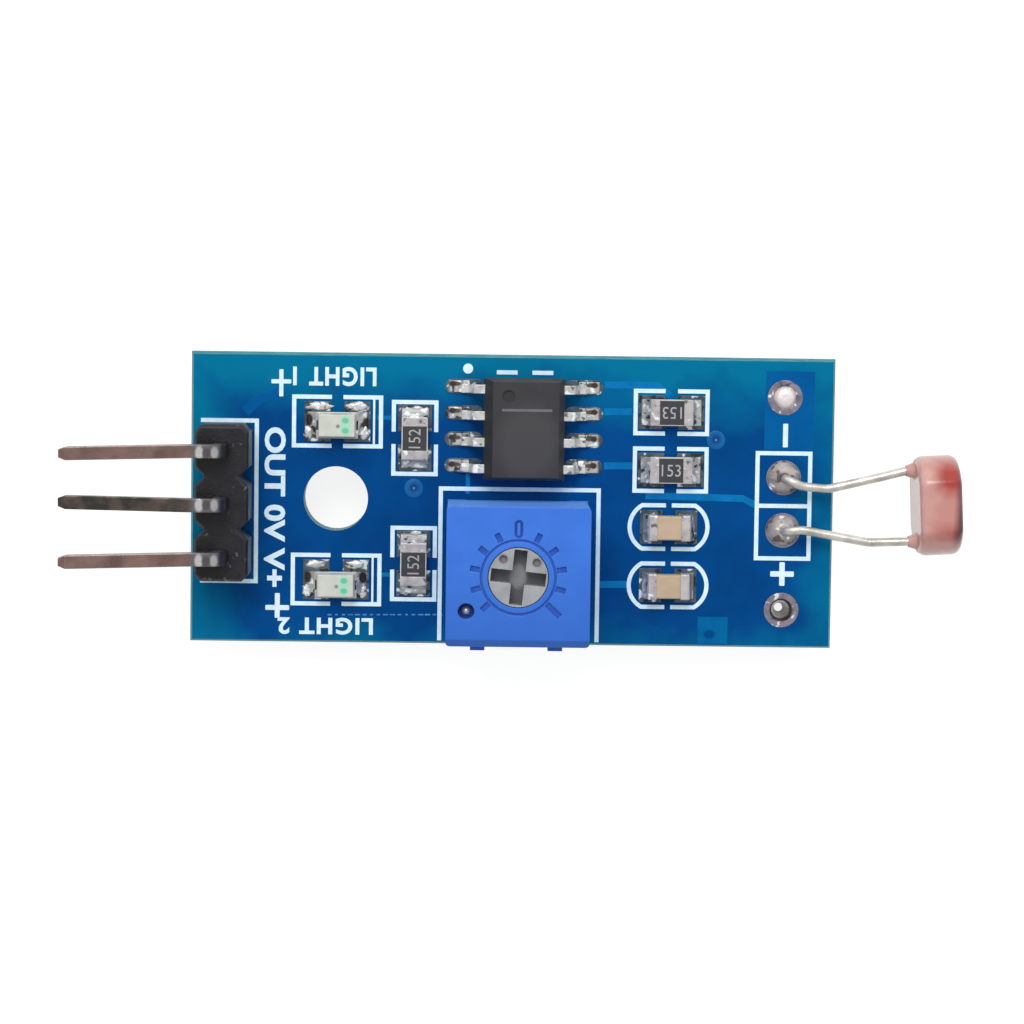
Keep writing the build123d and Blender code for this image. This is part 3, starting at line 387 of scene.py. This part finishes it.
pins = {
    "rows": (2.34, -0.11, -2.73),
    "darkRow": -0.11, "darkHalf": 0.7, "dark": "#3A3A37",  # the middle pin is darker, in patches
    "mottleScale": 1.4, "mottleRange": (0.4, 0.6), "darkShares": (0.62, 1.0),
    # painted highlight: lighter and silver towards the bend
    "bendHighlightRange": (-6.75, -6.4), "bendHighlight": "#6F6C6E",
    # painted highlights on each knee, with painted shade between them
    "kneeHighlightsAndShade": [(-6.2, 0.2, "#C2C0C0", 0.6), (-5.5, 0.18, "#B4B2B2", 0.6), (-5.87, 0.2, "#5B575A", 0.8)],
    "shadeRange": (-5.35, -5.2), "shadeMost": 0.85, "shade": "#3A3A40",
    "cellShade": (-6.0, 0.85, "#0A0A0E", 0.85),  # painted shade of a recess: the dark round each pin on its cell
}
pinFinish = finishes["tinned_brass"]
tree = pinFinish.node_tree
where = inMillimetres(tree)
place = split(tree, where)
away = calc(tree, "ABSOLUTE", calc(tree, "SUBTRACT", place["Y"], pins["darkRow"]))
middlePin = calc(tree, "LESS_THAN", away, pins["darkHalf"])
mottle = ramp(tree, cloud(tree, where, pins["mottleScale"], 2.0), *pins["mottleRange"], *pins["darkShares"])
recolour(pinFinish, calc(tree, "MULTIPLY", middlePin, mottle), pins["dark"])
# painted highlight towards the bend and on the knees, with painted shade between
recolour(pinFinish, ramp(tree, place["X"], *pins["bendHighlightRange"]), pins["bendHighlight"])
addSpots(pinFinish, [(x, row, *look) for row in pins["rows"] for x, *look in pins["kneeHighlightsAndShade"]])
recolour(pinFinish, ramp(tree, place["X"], *pins["shadeRange"], most=pins["shadeMost"]), pins["shade"])
# painted shade round each pin on its cell
spotX, *spotLook = pins["cellShade"]
addSpots(finishes["black_nylon"], [(spotX, row, *spotLook) for row in pins["rows"]])

lens = {  # places from the lens's middle
    # edge: a painted highlight on the lens's rounded edges
    "body": "#C9CCC3", "shade": "#B8BDB2", "edge": ("#EEF2E8", 0.08, 0.5),
    "glow": (0.41, 0.0, 0.28, "#A4D3BD", 0.5),
    "marks": [(0.41, 0.25, 0.18, "#5FBF97", 1.2), (0.41, -0.24, 0.18, "#5FBF97", 1.2)],
    "die": (0.05, -0.03, 0.1, "#8B837D", 1.0),
}


def nodeCentre(name):
    low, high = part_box(name)
    return (low + high) / 2 / mm


def lensFinish(name, centre):
    # cloudy resin with the green marks and the die that show through it
    material = makeFinish(name, lens["body"], lens["shade"], 2.2, 0.6, 9.0, 0.01, edge=lens["edge"],
                          Roughness=0.3, Coat_Weight=0.3, Coat_Roughness=0.1)
    spots = [lens["glow"], *lens["marks"], lens["die"]]
    addSpots(material, [(centre[0] + x, centre[1] + y, *look) for x, y, *look in spots])
    return material


for name, node in nodes.items():
    if name.endswith("_lens"):
        finish = lensFinish(name + "Resin", nodeCentre(name))
    else:
        finish = nodeFinishes.get(name) or finishes.get(recordSlots[name])
    if finish:
        node.data.materials.clear()
        node.data.materials.append(finish)


def addPiece(name, mesh, finish, body="module"):
    piece = bpy.data.objects.new(name, mesh)
    bpy.context.scene.collection.objects.link(piece)
    mesh.materials.append(finish)
    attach(piece, body)
    return piece


def meshFrom(builder, name, rounded=False):
    # a rounded mesh is smooth but for its flat ends, which have more than four corners
    mesh = bpy.data.meshes.new(name)
    builder.to_mesh(mesh)
    builder.free()
    for face in mesh.polygons:
        face.use_smooth = rounded and len(face.vertices) <= 4
    return mesh


def circle(radius, steps):
    return [(radius * cos(2 * pi * i / steps), radius * sin(2 * pi * i / steps)) for i in range(steps)]


def bridge(builder, rings):
    # joins each closed ring to the next one, or a lone point to the ring round it
    for inner, outer in zip(rings, rings[1:]):
        for i in range(len(outer)):
            following = (i + 1) % len(outer)
            if len(inner) == 1:
                builder.faces.new((inner[0], outer[i], outer[following]))
            else:
                builder.faces.new((inner[i], outer[i], outer[following], inner[following]))


print("printed labels")

inkHeight = 0.03
letters = {"thickness": inkHeight, "weight": 0.035}
labels = {  # words, centre, turn, height of a capital, width that the line fills, letter spacing
    "pinLabels": ("OUT 0V V+", (-2.93, -0.45), -90, {"capital": 1.02, "width": 7.7, "spacing": 1.0}),
    "upperLampLabel": ("LIGHT 1", (-0.1, 5.87), 180, {"capital": 0.92, "width": 4.0, "spacing": 1.14}),
    "lowerLampLabel": ("LIGHT 2", (-0.45, -6.17), 180, {"capital": 0.82, "width": 4.6, "spacing": 1.14}),
}
codeInk = {"capital": 0.57, "width": 0.92, "spacing": 1.0, "thickness": 0.01, "weight": 0.0}
codes = {  # three plain figures on each resistor's coat, and their turn
    "resistor_1_coat": ("152", 90), "resistor_2_coat": ("152", 90),
    "resistor_3_coat": ("153", 180), "resistor_4_coat": ("153", 0),
}


def wordsMesh(name, words, look, turn, place):
    # solid letters fitted to a height and a width, standing on the given place
    curve = bpy.data.curves.new(name, "FONT")
    curve.body = words
    curve.align_x = "CENTER"
    curve.align_y = "CENTER"
    curve.size = 1.0
    curve.offset = look["weight"]
    curve.space_character = look["spacing"]
    curve.extrude = 0.5
    curve.resolution_u = 4
    holder = bpy.data.objects.new(name, curve)
    bpy.context.scene.collection.objects.link(holder)
    bpy.context.view_layer.update()
    mesh = bpy.data.meshes.new_from_object(holder.evaluated_get(bpy.context.evaluated_depsgraph_get()))
    bpy.data.objects.remove(holder)
    xs = [v.co.x for v in mesh.vertices]
    ys = [v.co.y for v in mesh.vertices]
    middle = Matrix.Translation((-(max(xs) + min(xs)) / 2, -(max(ys) + min(ys)) / 2, 0.5))
    scaleX = look["width"] / (max(xs) - min(xs))
    scaleY = look["capital"] / (max(ys) - min(ys))
    size = Matrix.Diagonal((scaleX, scaleY, look["thickness"], 1))
    seat = Matrix.Translation(Vector(place) * mm) @ Matrix.Scale(mm, 4)
    mesh.transform(seat @ Matrix.Rotation(radians(turn), 4, "Z") @ size @ middle)
    return mesh


for name, (words, centre, turn, look) in labels.items():
    mesh = wordsMesh(name, words, {**letters, **look}, turn, (*centre, boardTop))
    addPiece(name, mesh, finishes["white_ink"])

codeFinish = makeFinish("codeInk", "#A9AAAE", "#8E8F94", 3.0, 0.6, 16.0, 0.005, Roughness=0.5)
for name, (words, turn) in codes.items():
    centre = nodeCentre(name)
    seat = (centre.x, centre.y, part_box(name)[1].z / mm)
    mesh = wordsMesh(name + "Code", words, codeInk, turn, seat)
    addPiece(name + "Code", mesh, codeFinish)

signs = {  # strokes of the signs: centre, length, width and turn
    "minusSign": [((21.6, 3.31), 1.14, 0.24, 90)],
    "plusSign": [((21.56, -3.38), 1.14, 0.26, 90), ((21.56, -3.38), 1.14, 0.26, 0)],
    "upperLampPlus": [((-2.66, 5.53), 1.3, 0.2, 90), ((-2.66, 5.6), 0.95, 0.2, 0)],
    "lowerLampPlus": [((-2.77, -5.2), 1.2, 0.24, 90), ((-2.77, -5.3), 1.15, 0.24, 0)],
}
stroke = {"steps": 24, "corner": 0.18, "crossing": 0.1}  # the last two in shares of width and thickness


def strokesMesh(name, strokes, base, thickness):
    # flat strokes given as (centre, length, width, turn), with their corners rounded
    builder = bmesh.new()
    for number, ((x, y), length, width, turn) in enumerate(strokes):
        top = base + thickness * (1 + number * stroke["crossing"])  # crossing strokes don't share a face
        radius = width * stroke["corner"]
        swing = radians(turn)
        corners = []
        for index in range(stroke["steps"]):
            angle = 2 * pi * (index + 0.5) / stroke["steps"]
            reachX = length / 2 - radius
            reachY = width / 2 - radius
            px = (reachX if cos(angle) > 0 else -reachX) + cos(angle) * radius
            py = (reachY if sin(angle) > 0 else -reachY) + sin(angle) * radius
            corners.append((x + px * cos(swing) - py * sin(swing), y + px * sin(swing) + py * cos(swing)))
        lower, upper = [[builder.verts.new((cx * mm, cy * mm, height * mm)) for cx, cy in corners]
                        for height in (base, top)]
        bridge(builder, (upper, lower))
        builder.faces.new(upper)
        builder.faces.new(lower[::-1])
    return meshFrom(builder, name)


for name, strokes in signs.items():
    addPiece(name, strokesMesh(name, strokes, boardTop, inkHeight), finishes["white_ink"])


print("traces under the mask")

traceFinish = makeFinish("traceBlue", "#0674B4", "#05639F", 1.5, 0.8, 5.0, 0.01,
                         Roughness=0.34, Specular_IOR_Level=0.05)
stripFinish = makeFinish("stripBlue", "#035C99", "#035091", 0.6, 0.8, 3.0, 0.004,
                         Roughness=0.34, Specular_IOR_Level=0.03)
padFinish = makeFinish("padBlue", "#04649C", "#035890", 1.2, 0.8, 3.0, 0.004,
                       Roughness=0.34, Specular_IOR_Level=0.03)
addSpots(padFinish, [(18.1, -6.35, 0.3, "#034480", 1.3)])
traceWidth = 0.34
stubWidth = 0.2
traceHeight = 0.012
traces = {
    "outputTrace": ([(12.85, 5.63), (15.4, 5.63), (16.05, 5.15)], traceWidth),
    "referenceTrace": ([(12.85, 4.33), (14.2, 4.35)], traceWidth),
    "inputTrace": ([(12.88, 1.73), (14.25, 1.75)], traceWidth),
    "sensorTrace": ([(14.9, 0.32), (19.6, 0.24), (20.2, -0.06)], traceWidth),
    "trimmerTrace": ([(12.76, -4.0), (14.1, -3.98)], traceWidth),
    "groundStub": ([(6.34, 1.31), (6.35, 0.3)], stubWidth),
    "upperLampTrace": ([(1.95, 3.92), (2.62, 3.92)], stubWidth),
    "lowerLampTrace": ([(2.0, -3.65), (2.7, -3.65)], stubWidth),
}
faintHeight = 0.006
underMask = {  # wide copper that shows faintly through the mask: its run, width and finish
    "sensorStrip": ([(21.8, 6.4), (21.75, 2.6)], 2.35, stripFinish),
    "lampTrack": ([(-4.4, 4.12), (-3.7, 4.72), (-2.8, 5.08)], 0.5, stripFinish),
    "testPad": ([(18.25, -5.5), (18.25, -6.8)], 1.45, padFinish),
}
# painted glints: short bright dashes along a trace's edge
traceGlints = {
    "start": (-0.25, -5.62), "end": (5.15, -5.55), "count": 17, "turn": 0.7,
    "length": 0.2, "unevenness": 0.4, "width": 0.07, "height": 0.008,
}


def ribbonMesh(name, points, width, base, thickness, topShare=0.9):
    # a flat band along the points, a little narrower on top
    builder = bmesh.new()
    rows = []
    for index, point in enumerate(points):
        here = Vector(point)
        before = Vector(points[max(index - 1, 0)])
        after = Vector(points[min(index + 1, len(points) - 1)])
        along = (after - before).normalized()
        side = Vector((-along.y, along.x)) * width / 2
        row = []
        for share, rise in ((1, 0), (topShare, thickness), (-topShare, thickness), (-1, 0)):
            spot = here + side * share
            row.append(builder.verts.new((spot.x * mm, spot.y * mm, (base + rise) * mm)))
        rows.append(row)
    for first, second in zip(rows, rows[1:]):
        for a, b in ((0, 1), (1, 2), (2, 3)):
            builder.faces.new((first[a], second[a], second[b], first[b]))
    for row in (rows[0][::-1], rows[-1]):
        builder.faces.new(row)
    bmesh.ops.recalc_face_normals(builder, faces=builder.faces)
    return meshFrom(builder, name)


for name, (points, width) in traces.items():
    addPiece(name, ribbonMesh(name, points, width, boardTop, traceHeight), traceFinish)
for name, (points, width, finish) in underMask.items():
    addPiece(name, ribbonMesh(name, points, width, boardTop, faintHeight), finish)
# painted glint on a trace's edge
glintFinish = makeFinish("glintBlue", "#5B9AC8", "#1F6DAC", 1.3, 1.0, 8.0, 0.004, Roughness=0.4)
glintStrokes = []
for number in range(traceGlints["count"]):
    share = number / (traceGlints["count"] - 1)
    spot = [first + (last - first) * share for first, last in zip(traceGlints["start"], traceGlints["end"])]
    length = traceGlints["length"] * (1 + traceGlints["unevenness"] * sin(5 * number))
    glintStrokes.append((spot, length, traceGlints["width"], traceGlints["turn"]))
glintMesh = strokesMesh("traceEdgeGlints", glintStrokes, boardTop, traceGlints["height"])
addPiece("traceEdgeGlints", glintMesh, glintFinish)


def latheMesh(name, profile, centre, steps=40):
    # profile is a list of (radius, height) from the axis outwards
    builder = bmesh.new()
    rings = []
    for radius, height in profile:
        points = circle(radius, steps) if radius else [(0, 0)]
        rings.append([builder.verts.new(((centre[0] + x) * mm, (centre[1] + y) * mm, height * mm))
                      for x, y in points])
    bridge(builder, rings)
    bmesh.ops.recalc_face_normals(builder, faces=builder.faces)
    return meshFrom(builder, name, rounded=True)


via = {
    "places": {"leftVia": (3.75, 0.55), "rightVia": (18.26, 3.05)},
    "profile": [(0, 0.002), (0.16, 0.003), (0.22, 0.014), (0.4, 0.014), (0.45, 0)],  # radius and height
    "dip": (0.24, "#03407C", 1.0), "glint": (0.05, "#4C97C8", 1.0),
}
viaFinish = makeFinish("viaBlue", "#04609F", "#04538E", 1.5, 0.8, 5.0, 0.01,
                       Roughness=0.34, Specular_IOR_Level=0.2)
viaProfile = [(radius, boardTop + height) for radius, height in via["profile"]]
for name, centre in via["places"].items():
    addSpots(viaFinish, [(*centre, *via["dip"]), (*centre, *via["glint"])])
    addPiece(name, latheMesh(name, viaProfile, centre), viaFinish)


print("light sensor resin")

sensor = {
    "back": (27.8, 0.05, 2.5), "yaw": 3.0, "length": 4.78, "height": 4.1, "thickness": 2.02,
    "rim": 0.42, "inset": 0.34, "rimSteps": 6, "steps": 96,  # depth and width of the rounded rim
    "leadGap": 3.4, "coneSteps": 24,
    "cone": [(0.05, 0.55), (-0.08, 0.375), (-0.24, 0.32), (-0.4, 0.26)],  # depth and radius on each lead
}
swing = radians(sensor["yaw"])
sensorSeat = Matrix.Translation(Vector(sensor["back"]) * mm) @ Matrix.Rotation(swing, 4, "Z")


def sensorMesh():
    # a round coat cut flat above and below, its rims rounded, with a cone of resin on each lead
    builder = bmesh.new()
    halfLength = sensor["length"] / 2
    halfHeight = sensor["height"] / 2
    outline = [(x, max(-halfHeight, min(halfHeight, y))) for x, y in circle(halfLength, sensor["steps"])]
    stations = []
    for i in range(sensor["rimSteps"] + 1):
        angle = pi / 2 * i / sensor["rimSteps"]
        stations.append((sensor["rim"] * (1 - cos(angle)), sensor["inset"] * (1 - sin(angle))))
    stations += [(sensor["thickness"] - depth, inset) for depth, inset in stations[::-1]]
    rows = []
    for depth, inset in stations:
        scaleAcross = 1 - inset / halfLength
        scaleUp = 1 - inset / halfHeight
        rows.append([builder.verts.new((depth, x * scaleAcross, y * scaleUp)) for x, y in outline])
    bridge(builder, rows)
    builder.faces.new(rows[0])
    builder.faces.new(rows[-1][::-1])
    for offset in (sensor["leadGap"] / 2, -sensor["leadGap"] / 2):
        rings = []
        for depth, radius in sensor["cone"]:
            points = circle(radius, sensor["coneSteps"])
            rings.append([builder.verts.new((depth, offset + x, y)) for x, y in points])
        bridge(builder, rings)
    bmesh.ops.recalc_face_normals(builder, faces=builder.faces)
    mesh = meshFrom(builder, "sensorCoat", rounded=True)
    mesh.transform(sensorSeat @ Matrix.Scale(mm, 4))
    return mesh


resin = {
    "waveScale": 0.9, "depthWave": 1.0, "acrossWave": 0.8,  # how far the tones wander
    "bands": {  # the depths where a tone starts and is full, its range across with its blur, its colour
        "rose": (28.3, 29.3, (-1.5, 2.4), 0.5, "#BE837C"),
        "upperRed": (28.5, 29.4, (1.3, 2.65), 0.4, "#A02A22"),
        "lowerRed": (28.6, 30.1, (-0.95, -0.3), 0.3, "#A5504A"),
    },
    "shadedRim": (29.35, 29.75, (-1.2, 2.5), 0.35, "#4E2625"),  # painted shade on the rim's curve, following the true depth
    "face": "#CFA08C", "faceLeast": 0.98,
}
resinFinish = makeFinish("sensorResin", "#C99D95", "#C08E85", 0.9, 0.7, 5.0, 0.015,
                         Roughness=0.26, Coat_Weight=0.3, Coat_Roughness=0.1)
tree = resinFinish.node_tree
where = inMillimetres(tree)
place = split(tree, where)
wander = cloud(tree, where, resin["waveScale"], 2.0)
trueDepth = calc(tree, "MULTIPLY_ADD", place["Y"], -sin(swing), place["X"])
wavyDepth = calc(tree, "MULTIPLY_ADD", wander, resin["depthWave"], trueDepth)
across = calc(tree, "MULTIPLY_ADD", wander, resin["acrossWave"], place["Y"])
# the last band is painted shade on the rim
bands = [(wavyDepth, *band) for band in resin["bands"].values()] + [(trueDepth, *resin["shadedRim"])]
for depth, start, end, (bottom, top), blur, colour in bands:
    above = ramp(tree, across, bottom - blur, bottom + blur)
    below = ramp(tree, across, top + blur, top - blur)
    inRange = calc(tree, "MULTIPLY", above, below)
    recolour(resinFinish, calc(tree, "MULTIPLY", ramp(tree, depth, start, end), inRange), colour)
recolour(resinFinish, facingMask(tree, (cos(swing), sin(swing), 0), resin["faceLeast"]), resin["face"])
sensorCoat = addPiece("sensorCoat", sensorMesh(), resinFinish)
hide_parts("sensor_resin")

track = {
    "runs": 7, "step": 0.42, "reach": 1.6, "tail": 0.6, "turnSteps": 8, "width": 0.17, "thickness": 0.015,
}


def trackPoints():
    # up one run, round a half circle and down the next, inside the face's round edge
    points = []
    radius = track["step"] / 2
    outermost = (track["runs"] - 1) / 2 * track["step"]
    for run in range(track["runs"] - 1):
        left = (run - (track["runs"] - 1) / 2) * track["step"]
        upward = 1 if run % 2 == 0 else -1
        widest = max(abs(left), abs(left + track["step"]))
        straight = sqrt(track["reach"] ** 2 - widest ** 2) - radius
        for step in range(track["turnSteps"] + 1):
            angle = pi - pi * step / track["turnSteps"]
            points.append((left + radius + radius * cos(angle), upward * (straight + radius * sin(angle))))
    return [(-outermost, -track["tail"])] + points + [(outermost, track["tail"])]


trackFinish = makeFinish("sensorTrack", "#A6361F", "#7E2416", 2.0, 0.7, 8.0, 0.01,
                         Roughness=0.3, Coat_Weight=0.3)
trackMesh = ribbonMesh("sensorTrackFace", trackPoints(), track["width"], sensor["thickness"],
                       track["thickness"])
upright = Matrix(((0, 0, 1, 0), (1, 0, 0, 0), (0, 1, 0, 0), (0, 0, 0, 1)))  # from plan to the sensor's face
trackMesh.transform(sensorSeat @ upright)
addPiece("sensorTrackFace", trackMesh, trackFinish)


print("small solder lumps")

lumps = [  # centre, length, width and height on the pads
    ((-0.8, 4.45), 1.15, 0.4, 0.09), ((1.0, 4.46), 0.95, 0.42, 0.09),
    ((-1.34, 3.2), 0.42, 0.62, 0.1), ((1.32, 3.2), 0.44, 0.66, 0.1),
    ((-0.95, -3.16), 0.85, 0.4, 0.09), ((0.95, -3.18), 0.85, 0.4, 0.09),
    ((-1.34, -4.45), 0.44, 0.6, 0.1), ((1.31, -4.42), 0.46, 0.6, 0.1),
    ((3.4, 4.3), 0.34, 0.26, 0.07), ((3.88, 4.4), 0.4, 0.2, 0.07), ((4.3, 4.28), 0.26, 0.3, 0.07),
    ((3.86, -1.62), 0.5, 0.24, 0.07), ((3.4, -4.5), 0.32, 0.24, 0.06),
]
pool = {"base": 1.635, "spread": 1.3, "waveDepth": 0.45, "waveScale": 1.7}


def lumpMesh(name, centre, length, width, height):
    # a flat pool of solder with a wavy shore
    builder = bmesh.new()
    bmesh.ops.create_uvsphere(builder, u_segments=32, v_segments=12, radius=1.0)
    for vertex in builder.verts:
        x, y, z = vertex.co
        seat = Vector((x * pool["spread"] + centre[0], y * pool["spread"] + centre[1], z))
        wave = 1 + pool["waveDepth"] * noise.noise(seat * pool["waveScale"])
        vertex.co = (x * wave, y * wave, z)
    squash = Matrix.Diagonal((length / 2 * mm, width / 2 * mm, height * mm, 1))
    seat = Matrix.Translation(Vector((*centre, pool["base"])) * mm)
    bmesh.ops.transform(builder, matrix=seat @ squash, verts=builder.verts)
    return meshFrom(builder, name, rounded=True)


lumpFinish = makeFinish("lumpSolder", "#D9DADB", "#A9ABAC", 2.0, 0.8, 8.0, 0.02,
                        specks=("#6C6A69", "#FFFFFF", 3.0, 0.38, 0.6), Metallic=0.35, Roughness=0.35)
for number, lump in enumerate(lumps):
    name = "solderLump" + str(number + 1)
    addPiece(name, lumpMesh(name, *lump), lumpFinish)

spareHole = {
    "place": (21.55, -5.13),
    "lining": [(0.545, 1.66), (0.5, 1.62), (0.42, 1.1), (0.33, 0.5), (0.2, 0.1), (0.3, 0.0), (0.545, -0.02)],
}
liningFinish = makeFinish("holeLining", "#8C8682", "#3A3633", 1.5, 0.9, 8.0, 0.03,
                          Metallic=0.7, Roughness=0.25)
liningMesh = latheMesh("spareHoleLining", spareHole["lining"], spareHole["place"])
addPiece("spareHoleLining", liningMesh, liningFinish)


print("small marks")

indexBead = {
    "place": (6.34, -4.89), "steps": 24,
    "profile": [(0, 6.1), (0.12, 6.07), (0.2, 5.96), (0.25, 5.8)],
}
beadMesh = latheMesh("indexBead", indexBead["profile"], indexBead["place"], indexBead["steps"])
addPiece("indexBead", beadMesh, finishes["tinned_wire"])
groove = {"stroke": ((9.12, 4.42), 2.4, 0.12, 0), "height": 0.004}
grooveFinish = makeFinish("bodyGroove", "#69676B", "#5A585C", 2.0, 0.5, 12.0, 0.004, Roughness=0.6)
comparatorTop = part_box("comparator_body")[1].z / mm
grooveMesh = strokesMesh("bodyGroove", [groove["stroke"]], comparatorTop, groove["height"])
addPiece("bodyGroove", grooveMesh, grooveFinish)


print("floor, light and camera")

studio = {
    "floorHeight": -1.4, "floorHalf": 600, "floorColour": "#969694", "floorGlow": 0.83,
    "worldLow": 0.62, "worldHigh": 0.5, "worldRange": (-0.3, 0.9),
    "keyStrength": 1.35, "keyTurn": (-34, -10, 0), "keyAngle": 30,
}
floorMesh = bpy.data.meshes.new("floor")
half = studio["floorHalf"] * mm
floorCorners = [(-half, -half, 0), (half, -half, 0), (half, half, 0), (-half, half, 0)]
floorMesh.from_pydata(floorCorners, [], [(0, 1, 2, 3)])
floor = bpy.data.objects.new("floor", floorMesh)
floor.location.z = studio["floorHeight"] * mm
bpy.context.scene.collection.objects.link(floor)
floorFinish = bpy.data.materials.new("paleFloor")
floorFinish.use_nodes = True
tree = floorFinish.node_tree
shader = tree.nodes["Principled BSDF"]
shader.inputs["Base Color"].default_value = paint(studio["floorColour"])
shader.inputs["Roughness"].default_value = 0.9
shader.inputs["Specular IOR Level"].default_value = 0.1
shader.inputs["Emission Color"].default_value = (1, 1, 1, 1)
rays = addNode(tree, "LightPath").outputs  # white to the eye and in glossy metal, without lighting the object
seen = calc(tree, "MAXIMUM", rays["Is Camera Ray"], rays["Is Glossy Ray"])
seenThrough = calc(tree, "MAXIMUM", seen, rays["Is Transmission Ray"])
tree.links.new(calc(tree, "MULTIPLY", seenThrough, studio["floorGlow"]), shader.inputs["Emission Strength"])
floorMesh.materials.append(floorFinish)

world = bpy.data.worlds.new("studio")
bpy.context.scene.world = world
world.use_nodes = True
tree = world.node_tree
background = tree.nodes["Background"]
background.inputs["Color"].default_value = (1, 1, 1, 1)
towards = split(tree, addNode(tree, "TexCoord").outputs["Generated"])
towardsTop = ramp(tree, towards["Y"], *studio["worldRange"], most=studio["worldHigh"])
tree.links.new(calc(tree, "ADD", towardsTop, studio["worldLow"]), background.inputs["Strength"])

key = bpy.data.lights.new("key", "SUN")
key.energy = studio["keyStrength"]
key.angle = radians(studio["keyAngle"])
keyLamp = bpy.data.objects.new("key", key)
keyLamp.rotation_euler = [radians(turn) for turn in studio["keyTurn"]]
bpy.context.scene.collection.objects.link(keyLamp)

view = {
    "target": (8.488, -0.545, 1.6), "distance": 150.0, "turns": {"X": -4.04, "Y": -0.744, "Z": 0.718},
    "lens": 109.49, "sensorWidth": 36.0, "clip": (0.005, 20.0),
}
turned = Matrix.Identity(4)
for axis, turn in view["turns"].items():
    turned = turned @ Matrix.Rotation(radians(turn), 4, axis)
camera = bpy.data.cameras.new("camera")
camera.lens = view["lens"]
camera.sensor_width = view["sensorWidth"]
camera.clip_start, camera.clip_end = view["clip"]
cameraObject = bpy.data.objects.new("camera", camera)
eye = (Vector(view["target"]) + turned.to_3x3() @ Vector((0, 0, view["distance"]))) * mm
cameraObject.matrix_world = Matrix.Translation(eye) @ turned
bpy.context.scene.collection.objects.link(cameraObject)
bpy.context.scene.camera = cameraObject
bpy.context.scene.view_settings.view_transform = "Standard"
